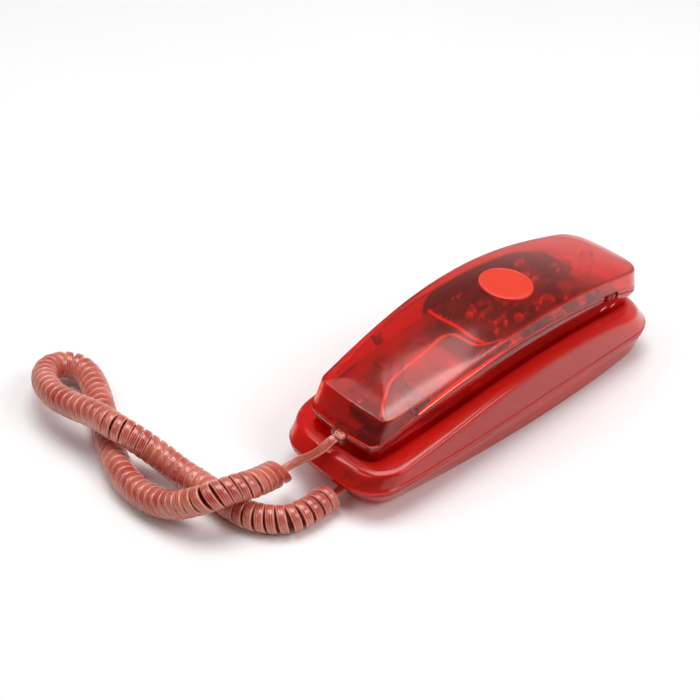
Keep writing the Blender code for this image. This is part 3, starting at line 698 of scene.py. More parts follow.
def skin(bm, loops):
    """Faces between closed loops of corners, with a cap on each end."""
    count = len(loops[0])
    faces = [bm.faces.new((a[k], a[(k + 1) % count], b[(k + 1) % count], b[k]))
             for a, b in zip(loops, loops[1:]) for k in range(count)]
    return faces + [bm.faces.new(loops[0][::-1]), bm.faces.new(loops[-1])]


def tube_mesh(bm, points, radius, sides, material):
    """Adds a round wire with capped ends along the points, in millimetres, to the mesh."""
    points = [Vector(p) for p in points]
    side = Vector((0.3, 0.2, 1.0))
    loops = []
    for i, point in enumerate(points):
        ahead = heading(points, i)
        side = squared(side, ahead)
        ways = [swung(side, ahead.cross(side), math.tau * k / sides) for k in range(sides)]
        loops.append([bm.verts.new((point + way * radius) * MM) for way in ways])
    for face in skin(bm, loops):
        face.material_index = material


# ---------------------------------------------------------------- cord

def coil_frames():
    """Even points along the coil's route, each with two directions across it that don't twist."""
    centre = even_route(COIL_ROUTE, COIL_STEP)
    side = LEAD_OUTWARD.copy()
    frames = []
    for i, point in enumerate(centre):
        ahead = heading(centre, i)
        side = squared(side, ahead)
        frames.append((point, side, ahead.cross(side)))
    return frames


def eased(share):
    return math.sin(min(1.0, share) * math.pi / 2)


def cord_path():
    """Centre points of the flat wire and the direction that its ribbed face looks, in millimetres."""
    frames = coil_frames()
    total = COIL_STEP * (len(frames) - 1)
    places = even_route(HANDSET_LEAD_ROUTE, LEAD_STEP)[:-1]
    outward = [LEAD_OUTWARD] * len(places)
    here, turn = 0.0, FIRST_TURN
    while here < total - 0.01:
        i = min(int(here / COIL_STEP), len(frames) - 2)
        share = here / COIL_STEP - i
        point, side, other = (a.lerp(b, share) for a, b in zip(frames[i], frames[i + 1]))
        loose = max(0.0, 1 - here / LOOSE_LENGTH)
        opened = min(1.0, max(0.0, (here - OPEN_FROM) / OPEN_OVER))
        pitch = PITCH + (OPEN_PITCH - PITCH) * opened + (LOOSE_PITCH - PITCH) * loose
        out = swung(side, other, turn)
        wound = eased(here / WIND_IN) * eased((total - here) / WIND_OUT)
        places.append(point + out * COIL_RADIUS * wound)
        outward.append((LEAD_OUTWARD * (1 - wound) + out * wound).normalized())
        lean = (COIL_LEAN * math.exp(-here / COIL_LEAN_FADE) + LOOSE_LEAN * loose) * out.z * wound
        places[-1] += side.cross(other) * lean
        here += pitch / STEPS_PER_TURN
        turn += math.tau / STEPS_PER_TURN
    base_lead = even_route(BASE_LEAD_ROUTE, LEAD_STEP)
    places += base_lead
    outward += [UP] * len(base_lead)
    return places, outward


def make_cord():
    """The curly cord: one flat four-conductor wire from plug to plug, wound along the coil's route."""
    places, outward = cord_path()
    # third number: how pale the jacket is there; the edges and ridges carry a painted highlight as well as
    # the conductors' paleness
    section = [(u, v, 0.75 if abs(u) > 1.5 else 0.5 if v > 1 else 0.05) for u, v in WIRE_OUTER]
    section += [(u, v, 0.6 if v == 0 else 0.2) for u, v in WIRE_INNER]
    bm = bmesh.new()
    loops = []
    for i, (point, out) in enumerate(zip(places, outward)):
        ahead = heading(places, i)
        out = squared(out, ahead)
        across = ahead.cross(out)
        loops.append([bm.verts.new((point + across * u + out * v) * MM) for u, v, _ in section])
    skin(bm, loops)
    cord = add_object("curly_cord", finish_mesh(bm, "curly_cord", 180), CORD)
    pale_and_highlight_values = [pale_and_highlight for _, _, pale_and_highlight in section] * len(places)
    cord.data.attributes.new("pale_and_highlight", "FLOAT", "POINT").data.foreach_set("value", pale_and_highlight_values)
    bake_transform(cord)
    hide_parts("curly_cord_coil", "handset_cord_lead", "base_cord_lead")


# ---------------------------------------------------------------- shells

def ringer_place():
    slope = math.degrees(math.atan(seam_height.deriv()(RINGER_Y)))
    return Vector((seam_width(RINGER_Y), RINGER_Y, seam_height(RINGER_Y))), slope


def seam_openings():
    """Cutters for the plug and the ringer knob, which sit on the joint of the handset's shells."""
    place, slope = ringer_place()
    width, _, height = PLUG
    # turned a little, so that no cutter face lies in a shell face
    plug_hole = cutter(block_mesh, (0.03, -96, HANDSET_PLUG[2]), (width + PLUG_PLAY, 14, height + PLUG_PLAY),
                       0.6, (1.3, 0.4, 0.7))
    return [plug_hole, cutter(block_mesh, place, (8, *RINGER_SLOT), 0.7, (slope, 0, 0))]


def back_shell():
    """The handset's back: a steep side band, a crisp rounded crease and a gently crowned top."""
    seam = half_outline(seam_width, SEAM, raised(seam_height, LINE_GAP))
    crease = scaled(half_outline(seam_width, BACK, back_height), BACK_SHARE)

    def top(share):
        y_share = 1 - 0.235 * (1 - share) ** 1.05
        rise = 2.3 * (1 - share ** 2.6)
        ring = [Vector((p.x * share, 0.5 + (p.y - 0.5) * y_share, 0)) for p in crease]
        return [Vector((p.x, p.y, back_height(p.y) + rise)) for p in ring]

    low, high = between(seam, crease, 0.94), top(0.965)
    rings = rounded(seam, moved(seam, 0.5), moved(seam, 1.2), 3)
    rings += [between(seam, crease, share) for share in (0.14, 0.3, 0.5, 0.7)]
    rings += rounded(low, crease, high, 8)
    rings += [top(share) for share in (0.85, 0.72, 0.57, 0.4, 0.22, 0.08)]
    obj = shell_object("handset_back", loft(rings), SHELL)
    half_x, half_y = (size / 2 + GAP for size in BADGE_SIZE)
    well = cutter(oval_mesh, (0, BADGE_Y, BADGE_FLOOR + 5), half_x, half_y, 10)
    combine(obj, [well] + seam_openings(), "DIFFERENCE")
    resharpen(obj)
    dress(obj, "handset", "red_shell", "handset_back_shell")


def cross_boss(name, x, y):
    """A screw post with four thin ribs that widen towards the shell, as the star marks in the back show."""
    top = back_height(y) - 1.2
    foot = top - 4.2
    height = top - foot
    bm = bmesh.new()
    rod(bm, (x, y, foot + height / 2), 1.7, height, sides=16, bevel=0.2)
    for turn in (20, 110):
        verts = block(bm, (0, 0, 0), (7.4, 0.8, height), 0.15)
        for vert in verts:
            if vert.co.z < 0:
                vert.co.x *= 0.55
        bmesh.ops.transform(bm, matrix=placed((x, y, foot + height / 2), (0, 0, turn)), verts=verts)
    piece(name, bm, "handset", "red_shell", RIB_RED)


def screw_boss(name, y):
    """The tube that a handset screw turns into."""
    top = back_height(y) - 0.6
    foot = HANDSET_BOSS_FOOT
    height = top - foot
    bm = bmesh.new()
    rod(bm, (0, y, foot + height / 2), 3.3, height, sides=28, bevel=0.25)
    obj = piece(name, bm, "handset", "red_shell", BOSS_CLEAR)
    combine(obj, [bore(0, y, foot + 4, SCREW_RADIUS + GAP, 10)], "DIFFERENCE")
    resharpen(obj)


def end_share(y):
    return max(0.0, (abs(y) - 70) / 20) if abs(y) < 90 else 1.0


def face_shell():
    """The handset's face, which lies in the cradle: belly, rounded edge, key windows and ear holes."""
    seam = half_outline(seam_width, SEAM, raised(seam_height, -LINE_GAP))
    edge = half_outline(seam_width, FACE, raised(face_height, FACE_ROUND), inset=FACE_INSET)
    edge = [Vector((p.x, p.y + math.copysign(FACE_INSET, p.y) * end_share(p.y), p.z)) for p in edge]
    corner = scaled(edge, 0.985, 1.0, raised(face_height, 0.2))
    flat = scaled(edge, 0.88, 0.975, face_height)
    rings = rounded(seam, moved(seam, -0.5), moved(seam, -1.2), 3)
    for share, wide in ((0.25, 1.02), (0.5, 1.03), (0.78, 1.015)):
        rings.append(scaled(between(seam, edge, share), wide))
    rings += rounded(edge, corner, flat, 7)
    rings += [scaled(flat, s, 0.9 + 0.1 * s, face_height) for s in (0.8, 0.55, 0.3, 0.1)]
    obj = shell_object("handset_face", loft(rings), FACE_RED)
    cutters = seam_openings()
    windows = [(0, HOOK_Y, HOOK_SIZE, 0.8)] + [(x, y, KEY_SIZE, 0.9) for _, x, y, _ in key_places()]
    for x, y, (width, length), bevel in windows:
        size = (width + 2 * GAP, length + 2 * GAP, 16)
        cutters.append(cutter(block_mesh, (x, y, face_height(y)), size, bevel))
    for y in HANDSET_SCREW_Y:
        z = face_height(y)
        cutters += [bore(0, y, z, SCREW_RADIUS + GAP, 12), bore(0, y, z - 1, SCREW_HEAD_RADIUS, 3.6)]
    for ring, holes in ((0.0, 1), (3.6, 6), (7.0, 12)):
        for i in range(holes):
            turn = math.tau * i / holes
            x, y = ring * math.cos(turn), RECEIVER_Y + ring * math.sin(turn)
            cutters.append(bore(x, y, face_height(y), EAR_HOLE_RADIUS, 12, 12))
    cutters += [bore(x, MIC_Y, face_height(MIC_Y), MIC_HOLE_RADIUS, 12, 12) for x in (-3.2, 0, 3.2)]
    combine(obj, cutters, "DIFFERENCE")
    resharpen(obj)
    dress(obj, "handset", "red_deep", "handset_face_shell")


def cradle_width(y):
    drop = seam_height(y) - deck_height(y)
    depth = seam_height(y) - face_height(y) - FACE_ROUND
    return seam_width(y) - FACE_INSET * min(1, drop / depth) + CRADLE_GAP


def deck_shell():
    """The base's upper shell: wall, rounded deck edge, ledge, cradle, hook post and screw posts."""
    rim = half_outline(rim_width, RIM, RIM_HEIGHT + LINE_GAP)
    wall_top = half_outline(rim_width, DECK, deck_height)
    deck = half_outline(rim_width, DECK, raised(deck_height, 0.4), inset=1.4)
    lip = half_outline(cradle_width, CRADLE, raised(deck_height, 1.0))
    lip_out = between(lip, deck, 0.14)
    lip_low = half_outline(cradle_width, CRADLE, raised(deck_height, -0.8), inset=0.25)
    floor = half_outline(cradle_width, CRADLE, raised(face_height, -CRADLE_DEPTH), inset=1.0)
    floor_in = half_outline(cradle_width, CRADLE, raised(face_height, -CRADLE_DEPTH), inset=2.6)
    above_floor = between(floor, lip_low, 0.1)
    step = scaled(moved(rim, 1.7), 0.99, 0.997)
    rings = [rim, moved(rim, 1.3), step]
    rings += [between(step, wall_top, share) for share in (0.2, 0.4, 0.6, 0.76)]
    rings += rounded(
        between(step, wall_top, 0.86), between(wall_top, deck, 0.15), between(deck, lip, 0.12), 7,
    )
    rings += [between(deck, lip, share) for share in (0.3, 0.55)]
    rings += rounded(lip_out, lip, lip_low, 6)
    rings += [between(lip_low, floor, share) for share in (0.3, 0.6)]
    rings += rounded(above_floor, floor, floor_in, 6)
    obj = shell_object("base_deck", loft(rings), BASE_RED)
    foot = face_height(HOOK_Y) - CRADLE_DEPTH - 1
    middle, height = (HOOK_POST_TOP + foot) / 2, HOOK_POST_TOP - foot
    helpers = [cutter(block_mesh, (0, HOOK_Y, middle), (*HOOK_POST, height), 0.6)]
    bores = []
    for y in BASE_SCREW_Y:
        top = face_height(y) - CRADLE_DEPTH - 1
        helpers.append(bore(0, y, (3.6 + top) / 2, 3.6, top - 3.6))
        bores.append(bore(0, y, 6, SCREW_RADIUS + GAP, 9))
    combine(obj, helpers, "UNION")
    combine(obj, bores, "DIFFERENCE")
    resharpen(obj)
    dress(obj, "base", "red_shell", "base_top_shell")


def tray_shell():
    """The base's undercut tray, with the cord's and the line's openings, keyholes and screw holes."""
    floor = half_outline(floor_width, FLOOR, 0.0)
    rim = half_outline(rim_width, RIM, RIM_HEIGHT - LINE_GAP, inset=0.4)
    foot = between(floor, rim, TRAY_BOTTOM / RIM_HEIGHT)
    inner = scaled(foot, 0.93, 0.985, level(TRAY_BOTTOM))
    edge = between(floor, rim, 2.6 * TRAY_BOTTOM / RIM_HEIGHT)
    rings = [scaled(inner, s, 0.9 + 0.1 * s) for s in (0.1, 0.5, 0.9)]
    rings += rounded(inner, scaled(foot, 1.0, 1.0, level(TRAY_BOTTOM + 0.1)), edge, 5)
    rings += [between(edge, rim, share) for share in (0.3, 0.6, 0.85)]
    rings += [moved(rim, -1.2), rim]
    obj = shell_object("base_tray", loft(rings, close_last=False, close_first=True), BASE_RED)
    cutters = [
        cutter(block_mesh, (BASE_PLUG[0], -100, BASE_PLUG[2]),
               (PLUG[0] + PLUG_PLAY, 16, PLUG[2] + PLUG_PLAY), 0.6),
        cutter(block_mesh, (LINE_JACK[0], 104, LINE_JACK[2]), (11.0, 12, 7.6), 0.5),
    ]
    for y in KEYHOLE_Y:
        width, length = KEYHOLE_SLOT
        slot = cutter(block_mesh, (0, y + length / 2, 2), (width, length, 8))
        cutters += [bore(0, y, 2, KEYHOLE_RADIUS, 8, 40), slot, bore(0, y + length, 2, width / 2, 8, 32)]
    for y in BASE_SCREW_Y:
        cutters += [bore(0, y, 2, SCREW_RADIUS + GAP, 8), bore(0, y, 0.5, SCREW_HEAD_RADIUS, 2.6)]
    combine(obj, cutters, "DIFFERENCE")
    resharpen(obj)
    dress(obj, "base", "red_deep", "base_bottom_shell", "connector_cover")


# ---------------------------------------------------------------- badge, keys, plugs and switch

def badge():
    """A plain oval badge with a rounded edge and a slightly raised rim, let into the back."""
    bm = bmesh.new()
    bottom = BADGE_FLOOR + GAP
    top = bottom + 1.1
    loops = []
    for share, height in (
        (0.985, bottom), (1.0, bottom + 0.2), (1.0, top - 0.35), (0.985, top - 0.08), (0.965, top),
        (0.93, top), (0.91, top - 0.12), (0.86, top - 0.14), (0.5, top - 0.06), (0.2, top - 0.02),
    ):
        ring = []
        for turn in np.linspace(0, math.tau, 96, endpoint=False):
            x, y = (half * share for half in (BADGE_SIZE[0] / 2, BADGE_SIZE[1] / 2))
            place = Vector((x * math.cos(turn), BADGE_Y + y * math.sin(turn), height))
            ring.append(bm.verts.new(place * MM))
        loops.append(ring)
    skin(bm, loops)
    piece("badge", bm, "handset", "red_badge", BADGE_RED, nodes=("back_badge",), angle=40)


def key_places():
    """Name, x, y and print of each key; the keypad's top row is nearest the earpiece."""
    digits = ("1", "2", "3", "4", "5", "6", "7", "8", "9", "star", "0", "hash")
    prints = {"star": "*", "hash": "#"}
    for i, digit in enumerate(digits):
        column, row = i % 3 - 1, i // 3
        x, y = -column * KEY_PITCH[0], KEYPAD_Y + (1.5 - row) * KEY_PITCH[1]
        yield f"key_{digit}", x, y, prints.get(digit, digit)
    yield "redial_key", FUNCTION_KEY_X, FUNCTION_KEY_Y, "R"
    yield "flash_key", -FUNCTION_KEY_X, FUNCTION_KEY_Y, "F"


def key_print(key, label, place):
    """The key's digit, mirrored so that it reads from outside the handset's face."""
    name = f"{key}_print"
    curve = bpy.data.curves.new(name, "FONT")
    curve.body = label
    curve.size = PRINT_SIZE * MM
    curve.extrude = 0.05 * MM
    curve.align_x, curve.align_y = "CENTER", "CENTER"
    text = bpy.data.objects.new(name, curve)
    scene.collection.objects.link(text)
    bpy.context.view_layer.update()
    mesh = bpy.data.meshes.new_from_object(text.evaluated_get(bpy.context.evaluated_depsgraph_get()))
    bpy.data.objects.remove(text, do_unlink=True)
    mesh.transform(Matrix.Translation(place * MM) @ Matrix.Rotation(math.pi, 4, "Y"))
    dress(add_object(name, mesh, KEY_INK), key, "black_plastic")


def keys():
    """The key caps, which narrow a little towards the face, and their prints."""
    for name, x, y, label in key_places():
        bottom = face_height(y) - KEY_PROUD
        height = KEY_TOP - bottom
        bm = bmesh.new()
        for vert in block(bm, (0, 0, 0), (*KEY_SIZE, height), 0.9, 4):
            if vert.co.z < 0:
                flare = 1 + vert.co.z / height / MM * KEY_FLARE
                vert.co.x *= flare
                vert.co.y *= flare
        bmesh.ops.translate(bm, verts=bm.verts, vec=Vector((x, y, bottom + height / 2)) * MM)
        piece(f"{name}_cap", bm, name, "key_white", KEY_WHITE, KEY_INK, nodes=(name,))
        key_print(name, label, Vector((x, y, bottom + 0.01)))


def plug(name, node, body, centre):
    """A clear modular plug: stepped block and latch; plug_blades adds the four gold blades over the wire's
    conductors.
    """
    x, y, z = centre
    width, length, height = PLUG
    bm = bmesh.new()
    block(bm, (x, y, z - 0.2), (width, length, height - 0.8), 0.35, 2)
    block(bm, (x, y + 0.3, z + height / 2 - 0.35), (3.0, length - 3.4, 0.7), 0.2, 2)
    block(bm, (x, y + length / 2 - 3, z + height / 2 - 0.75), (5.0, 2.4, 0.5), 0.15, 2)
    piece(name, bm, body, "clear_plug", PLUG_CLEAR, nodes=(node,))


def plug_blades(name, body, centre):
    x, y, z = centre
    bm = bmesh.new()
    for i in range(4):
        lane = x + (i - 1.5) * CONTACT_PITCH
        block(bm, (lane, y + 3.7, z - 2.0), (0.35, 3.2, 2.4), 0.05, 1, material=0)
        block(bm, (lane, y - 2.2, z + 0.1), (0.7, 6.6, 0.7), 0.2, 2, material=1)
    piece(name, bm, body, "brass", GOLD, WIRE_WHITE)


def ringer_knob():
    """The ringer switch's knob, with four grip ribs."""
    place, slope = ringer_place()
    turn = math.radians(slope)
    bm = bmesh.new()
    block(bm, place + Vector((-0.6, 0, 0)), (2.4, 5.8, 2.8), 0.4, 3, (slope, 0, 0))
    for shift in (-1.4, -0.5, 0.4, 1.3):
        rib = place + Vector((0.65, 0, 0)) + Vector((0, math.cos(turn), math.sin(turn))) * shift
        block(bm, rib, (0.35, 0.35, 2.4), 0.1, 1, (slope, 0, 0))
    piece("ringer_knob", bm, "ringer_slider", "key_white", RIB_RED, nodes=("ringer_slider",))


def ringer_marks():
    """Generic level bars under the slot, three for loud and two for soft, laid on the face's side."""
    _, slope = ringer_place()
    face = bpy.data.objects["handset_face"]
    bm = bmesh.new()
    for y, shifts in ((66.4, (-1.6, 0, 1.6)), (75.3, (-1.0, 0.8))):
        for k, shift in enumerate(shifts):
            start = Vector((45, y + shift, seam_height(y) - 7.0)) * MM
            found, spot, normal, _ = face.ray_cast(start, Vector((-1, 0, 0)))
            if not found:
                continue
            lean = math.degrees(math.atan2(-normal.z, normal.x))
            bar = (spot + normal * 0.04 * MM) / MM
            block(bm, bar, (0.14, 0.7, 1.9 - 0.35 * k), 0.05, 1, (slope, lean, 0))
    piece("ringer_marks", bm, "handset", "key_white", MARK_WHITE)


# ---------------------------------------------------------------- parts on the circuit board

# Places on the board, in millimetres. Parts on their side: x, y, turn, length
RESISTORS = (
    (-6.5, 47.5, 5, 6.4), (-12.0, 48.0, 5, 6.4), (-22.6, 34.0, 2, 6.4), (-22.8, 8.0, 0, 6.4),
    (-22.4, 55.0, -3, 6.4), (-9.5, 14.5, -35, 6.4), (-10.0, 6.5, 62, 6.4), (18.4, 4.5, 4, 6.8),
    (4.8, 24.5, 84, 6.4), (9.4, 33.5, 12, 6.4), (18.5, 36.0, 0, 6.4), (4.0, 51.5, 80, 6.4),
)
DIODES = ((10.5, 1.2, 30), (6.8, 40.5, 8), (19.0, 57.5, 5), (-8.6, 22.5, 70))
# x, y, turn, radius
DISCS = (
    (12.6, 15.4, 35, 2.7), (14.6, 61.5, 60, 2.2), (-5.8, -1.0, 10, 2.2), (-1.5, 20.5, 70, 2.0),
    (10.4, 8.0, 120, 1.8), (9.8, 55.0, 20, 1.9), (-4.0, 72.5, 40, 2.3),
)
# x, y, radius, height
CANS = ((11.2, 28.0, 2.3, 5.5), (18.0, 68.0, 2.2, 5.0), (-4.5, 62.0, 2.4, 5.2), (-5.0, 36.0, 3.0, 6.0))
# x, y, turn
TRANSISTORS = (
    (15.6, 42.8, 90), (14.4, -6.5, 20), (-9.0, 28.5, 120),
    (-3.5, 56.5, 200), (9.0, 20.4, 160), (18.6, 12.6, 80),
)
# Dark film capacitors and a relay: x, y, width, length, height
DARK_BLOCKS = (
    (-17.5, 12.0, 6.5, 10, 4.6), (-17.0, 27.0, 7, 13, 4.2), (-16.5, 40.0, 8, 8, 3.6),
    (4.0, -6.4, 12, 6, 2.6), (17.5, 23.0, 6, 9.4, 4.0), (-13.0, 64.0, 10, 11, 3.4),
)
TRANSFORMER = (-15.0, -2.5)
CHIP = (-5, 38)
DOT_ROWS = (-9.8, 6.2, 18.0, 24.4, 41.5, 55.0, 70.5)
DOT_COLUMNS = (-24.2, -12.2, -2.6, 1.8, 7.6, 19.2)
CARD = ((-26.2, -11), (20.5, -11), (20.5, 43), (-1, 43), (-1, 74), (-24.2, 74))
CARD_THICK = 1.2
CARD_PINS = ((-20.8, -9.4), (19.2, -9.4), (19.2, 41.4), (-2.4, 72.4), (-20.8, 72.4))


def seat(x, y):
    """The top of the board that stands at this place: the upper card, or the main board past it."""
    return CARD_TOP if y < 43 or x < -1 else BOARD_TOP


def along(turn):
    """The way that a part's own X looks once it is turned."""
    return Vector((math.cos(math.radians(turn)), math.sin(math.radians(turn)), 0))


def lying_part(bm, x, y, turn, radius, length, materials, bands=3):
    """A resistor or diode on its side: body with swollen ends, colour bands and bent leads."""
    body, band, lead = materials
    way = along(turn + 90)
    top = seat(x, y)
    centre = Vector((x, y, top + radius + 0.15))
    rod(bm, centre, radius * 0.88, length, 18, (90, 0, turn), 0.3, body)
    for end in (-way, way):
        rod(bm, centre + end * (length / 2 - 0.9), radius, 1.8, 18, (90, 0, turn), 0.35, body)
        tip = centre + end * (length / 2)
        foot = tip + end * 1.6
        foot.z = top + 0.2
        tube_mesh(bm, [tip - end * 0.4, tip + end, tip + end * 1.5 - UP * 0.5, foot], 0.28, 8, lead)
    for k in range(bands):
        rod(bm, centre + way * (k - (bands - 1) / 2) * 1.5, radius * 0.93, 0.6, 18, (90, 0, turn), 0.0, band)


def standing_disc(bm, x, y, turn, radius, materials):
    """A ceramic disc capacitor on two legs."""
    body, lead = materials
    top = seat(x, y)
    centre = Vector((x, y, top + radius + 1.1))
    rod(bm, centre, radius, 1.7, 24, (90, 0, turn), 0.6, body)
    for end in (-1, 1):
        foot = Vector((x, y, top)) + along(turn) * end * radius * 0.55
        tube_mesh(bm, [foot + UP * 0.1, foot + UP * 0.8, foot + UP * (radius * 0.5 + 1.1)], 0.27, 8, lead)


def standing_can(bm, x, y, radius, height, materials):
    """An electrolytic capacitor: sleeve with a rolled groove, pale stripe and a bare top."""
    sleeve, stripe, top = materials
    foot = Vector((x, y, seat(x, y) + 0.3))
    upper = height - 1.4
    for middle, share, tall, bevel, finish in ((0.6, 1, 1.2, 0.25, sleeve), (1.3, 0.9, 0.5, 0, sleeve),
                                               (1.4 + upper / 2, 1, upper, 0.35, sleeve),
                                               (height + 0.02, 0.78, 0.25, 0.08, top)):
        rod(bm, foot + UP * middle, radius * share, tall, 28, (0, 0, 0), bevel, finish)
    block(bm, foot + Vector((radius * 0.93, 0, height / 2 + 0.2)), (0.35, radius * 0.7, height - 2.4), 0.1, 1,
          material=stripe)


def transistor(bm, x, y, turn, materials):
    """A small flat-faced transistor on three legs."""
    body, lead = materials
    top = Vector((x, y, seat(x, y)))
    verts = rod(bm, (0, 0, 0), 2.2, 4.4, 24, (0, 0, 0), 0.2, body)
    for vert in verts:
        vert.co.y = min(vert.co.y, 1.1 * MM)
    bmesh.ops.transform(bm, matrix=placed(top + UP * 3.6, (0, 0, turn)), verts=verts)
    for step in (-1.1, 0, 1.1):
        block(bm, top + along(turn) * step + UP * 0.8, (0.4, 0.3, 1.6), 0.05, 1, (0, 0, turn), lead)


def transformer(bm, core, pins):
    """A winding in a core between two flanges, on six pins."""
    x, y = TRANSFORMER
    block(bm, (x, y, CARD_TOP + 3.3), (11.6, 4.4, 5.8), 0.3, 2, material=core)
    block(bm, (x, y, CARD_TOP + 3.2), (7.8, 9.2, 4.6), 1.2, 3, material=core)
    for end in (-1, 1):
        block(bm, (x, y + end * 5.1, CARD_TOP + 3.2), (9.6, 0.9, 5.2), 0.2, 1, material=core)
        for lane in (-3.4, 0, 3.4):
            block(bm, (x + lane, y + end * 5.9, CARD_TOP + 0.8), (0.6, 0.5, 1.5), 0.08, 1, material=pins)


def chip_pins(bm, material):
    x, middle = CHIP
    for k in range(12):
        y = middle + (k - 5.5) * 1.9
        for side in (-1, 1):
            block(bm, (x + side * 5.35, y, BOARD_TOP + 1.35), (0.7, 0.55, 0.3), 0.08, 1, material=material)
            block(bm, (x + side * 5.62, y, BOARD_TOP + 0.75), (0.28, 0.5, 1.4), 0.08, 1, material=material)


def board_parts():
    """Everything small that shows on the boards, as one mesh."""
    cream, brown, solder, orange, black, steel, blue, stripe = range(8)
    bm = bmesh.new()
    for x, y, turn, length in RESISTORS:
        lying_part(bm, x, y, turn, 1.15, length, (cream, brown, solder))
    for x, y, turn in DIODES:
        lying_part(bm, x, y, turn, 0.85, 4.2, (orange, black, solder), 1)
    for x, y, turn, radius in DISCS:
        standing_disc(bm, x, y, turn, radius, (orange, solder))
    for x, y, radius, height in CANS:
        standing_can(bm, x, y, radius, height, (blue, stripe, steel))
    for x, y, turn in TRANSISTORS:
        transistor(bm, x, y, turn, (black, solder))
    for x, y, wide, long, high in DARK_BLOCKS:
        block(bm, (x, y, seat(x, y) + 0.3 + high / 2), (wide, long, high), 1.1, 3, material=black)
        block(bm, (x, y, seat(x, y) + 0.35 + high), (wide - 3.4, long - 3.4, 0.25), 0.1, 1, material=black)
    transformer(bm, black, solder)
    chip_pins(bm, solder)
    for y in DOT_ROWS:
        for x in DOT_COLUMNS:
            rod(bm, (x, y, seat(x, y) + 0.22), 0.75, 0.4, 12, (0, 0, 0), 0.0, solder, 0.3)
    finishes = (CREAM, BROWN, SOLDER, ORANGE, BLACK, STEEL, BLUE, WIRE_WHITE)
    piece("board_parts", bm, "handset", "black_plastic", *finishes)


def upper_card():
    """A second card on pins over the main board, its far right corner cut away, with two resistors."""
    bm = bmesh.new()
    levels = (CARD_TOP - CARD_THICK, CARD_TOP)
    skin(bm, [[bm.verts.new(Vector((x, y, z)) * MM) for x, y in CARD] for z in levels])
    bmesh.ops.bevel(bm, geom=list(bm.edges), offset=0.15 * MM, segments=1, affect="EDGES")
    for x, y in CARD_PINS:
        rod(bm, (x, y, (BOARD_TOP + CARD_TOP) / 2), 0.6, CARD_TOP - BOARD_TOP - 0.2, 12, material=1)
    piece("upper_card", bm, "handset", "circuit_board", LAMINATE, SOLDER)
    bm = bmesh.new()
    for x in (-4, 5):
        lying_part(bm, x, 9, 8, 1.2, 9.6, (0, 1, 2), 4)
    piece("card_resistors", bm, "handset", "black_plastic", CREAM, BROWN, SOLDER)


def painted_shade_sheet():
    """A black sheet between the upper card and the left wall, standing where the shade along the left wall
    falls: painted shade. Its top slopes down at the ends.
    """
    bm = bmesh.new()
    rows = []
    for y in np.linspace(-13, 78, 40):
        low_x, high_x = -(seam_width(y) * 0.985 - 2.9), -(seam_width(y) * 0.962 - 3.0)
        ends = min(1.0, (y + 15) / 6, (84 - y) / 34)
        low_z, high_z = CARD_TOP - 1.4, back_height(y) - 4.2 - 5.0 * (1 - ends)
        corners = ((low_x, low_z), (high_x, high_z), (high_x + 0.5, high_z), (low_x + 0.5, low_z))
        rows.append([bm.verts.new(Vector((x, y, z)) * MM) for x, z in corners])
    skin(bm, rows)
    piece("painted_shade_sheet", bm, "handset", "black_plastic", SHADE_SHEET_BLACK)


def board_resistors():
    """The two resistors on the main board: body, swollen ends and three bands."""
    bm = bmesh.new()
    for x in (-4, 5):
        centre = Vector((x, 9, BOARD_TOP + 1.3))
        rod(bm, centre, 1.05, 9.4, 18, (90, 0, 8), 0.3, 0)
        for k in (-4, -2, 0, 2, 4):
            radius, length, bevel, finish = (1.2, 1.4, 0.2, 0) if abs(k) == 4 else (1.1, 0.6, 0, 1)
            rod(bm, centre + along(98) * k, radius, length, 18, (90, 0, 8), bevel, finish)
    piece("board_resistors", bm, "handset", "black_plastic", CREAM, BROWN,
          nodes=("resistor_1", "resistor_2"))


def cord_clamp():
    """The dark bar that holds the plug's jack down, and the two ribs beside it under the shell."""
    bm = bmesh.new()
    block(bm, (5.5, -80.5, 39.5), (19, 9, 4.4), 0.8, 3, material=0)
    block(bm, (5.5, -80.5, 42.0), (12, 4.4, 1.2), 0.5, 2, material=0)
    for x in (-1.5, 13.0):
        rod(bm, (x, -80.5, 42.2), 1.7, 1.0, 20, bevel=0.25, material=1)
    piece("cord_clamp", bm, "handset", "steel", DARK_IRON, STEEL)
    bm = bmesh.new()
    for x, near, far in ((-16.5, -83.5, -68.5), (-5.5, -83.0, -73.5)):
        middle = (near + far) / 2
        slope = math.degrees(math.atan2(back_height(far) - back_height(near), far - near))
        block(bm, (x, middle, back_height(middle) - 1.5), (0.7, far - near, 2.2), 0.15, 1, (slope, 0, 0))
    piece("shell_ribs", bm, "handset", "red_shell", RIB_RED)


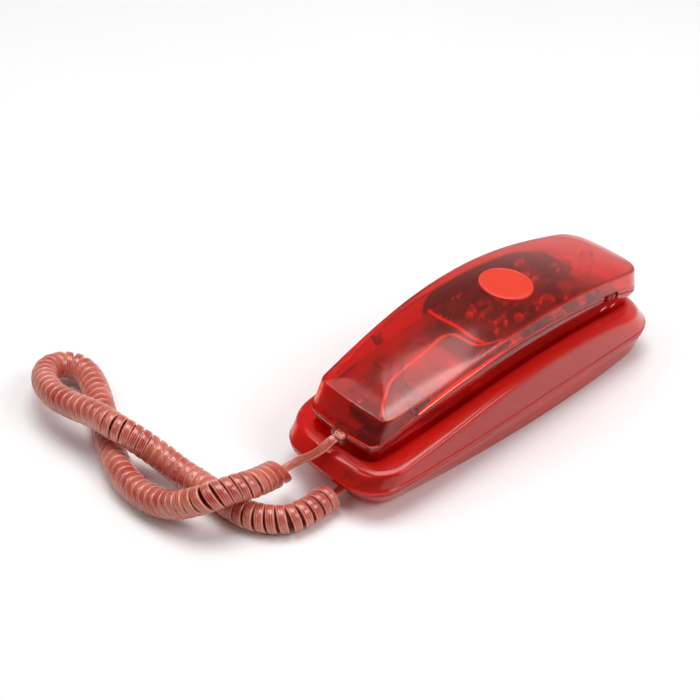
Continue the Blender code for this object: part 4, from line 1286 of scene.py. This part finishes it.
def loose_wires():
    """The wires that cross the shell from the plug, the microphone and the receiver to the board."""
    top = BOARD_TOP + 1.4
    bm = bmesh.new()
    for shift in (-0.45, 0.45):
        route = ((16 + shift, -79, 38), (12 + shift, -79, 42), (6.5 + shift, -72, 45),
                 (1.8 + shift, -61.3, 48), (0.4 + shift, -42, 50), (-2.3 + shift, -25.5, 50.5),
                 (-1.0, -18.9 + shift, 50.5), (3.0, -17.4 + shift, 50.2), (7.1, -17.1 + shift, 50),
                 (13.2, -14.6 + shift, 49.5), (17, -4.5 + shift, 49.2), (18.2, 3.2 + shift, CARD_TOP + 0.4))
        tube_mesh(bm, even_route(route, 1.2), 0.38, 10, 0 if shift < 0 else 1)
    piece("microphone_leads", bm, "handset", "cream_plastic", CREAM, ORANGE, nodes=("microphone_wires",))
    bm = bmesh.new()
    for lane in range(4):
        shift = (lane - 1.5) * 1.05
        route = ((-4 + shift, -73, 33.5), (-6.5 + shift, -66, 38 + 0.3 * lane), (-10 + shift, -55, 42.5),
                 (-14 + shift, -42, 43.5), (-16.5 + shift, -30, 42.5), (-17 + shift, -22.5, top - 0.9))
        tube_mesh(bm, even_route(route, 1.4), 0.3, 8, lane % 2)
    piece("jack_leads", bm, "handset", "cream_plastic", BROWN, DEEP_RED, nodes=("jack_wires",))
    bm = bmesh.new()
    for shift in (-0.5, 0.5):
        route = ((-22.9, 66 + shift, 36), (-22.6, 61 + shift, 40.5), (-19, 56.5 + shift, 43.2),
                 (-16, 51 + shift, 43.0), (-14 + shift, 47, 41.6), (-13.5 + shift, 45, top - 1))
        tube_mesh(bm, even_route(route, 1.2), 0.45, 8, 0)
        route = ((-24.0, -9.6 + shift, CARD_TOP + 0.5), (-23.2, -12.6 + shift, 50),
                 (-20.5, -14.4 + shift, 51.6), (-13.2, -13.9 + shift, 51.0), (-4.5, -12.4 + shift, 50.4),
                 (2, -12.8 + shift, 50.2), (8.9, -12.6 + shift, 50), (12.0, -9.6 + shift, CARD_TOP + 0.5))
        tube_mesh(bm, even_route(route, 1.2), 0.45, 8, 1)
    piece("receiver_leads", bm, "handset", "cream_plastic", WIRE_RED, ORANGE, nodes=("receiver_wires",))


make_camera()
make_studio()
make_cord()
back_shell()
face_shell()
deck_shell()
tray_shell()
badge()
keys()
ringer_knob()
ringer_marks()
plug("handset_plug", "handset_cord_plug", "handset", HANDSET_PLUG)
plug_blades("handset_plug_blades", "handset", HANDSET_PLUG)
plug("base_plug", "base_cord_plug", "base", BASE_PLUG)
plug_blades("base_plug_blades", "base", BASE_PLUG)
cross_boss("post_left", -21.3, -50.0)
cross_boss("post_right", 24.7, -25.6)
cross_boss("post_near", 24.0, -70.7)
for i, y in enumerate(HANDSET_SCREW_Y, 1):
    screw_boss(f"handset_boss_{i}", y)
board_parts()
upper_card()
painted_shade_sheet()
board_resistors()
cord_clamp()
loose_wires()

# Finishes of the solids that stay
FINISHES = {
    RUBBER: "rubber_foot_1 rubber_foot_2 rubber_foot_3 rubber_foot_4 microphone_boot",
    BLACK: "base_cord_jack line_jack dialler_chip bridge_rectifier hook_switch receiver_capsule",
    DEEP_RED: "handset_jack ringer_switch filter_capacitor",
    LAMINATE: "main_circuit_board terminal_board",
    STEEL: "ballast_plate base_screw_1 base_screw_2 handset_screw_1 handset_screw_2 crystal_can"
           " microphone_capsule",
    DARK_IRON: "handset_weight",
    BRASS: "sounder_disc",
    MEMBRANE: "keypad_membrane",
    CREAM: "jack_link_cable",
    BROWN: "bulk_capacitor",
    KEY_WHITE: "hook_plunger",
}
for finish, names in FINISHES.items():
    for name in names.split():
        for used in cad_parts[name].material_slots:
            used.material = finish
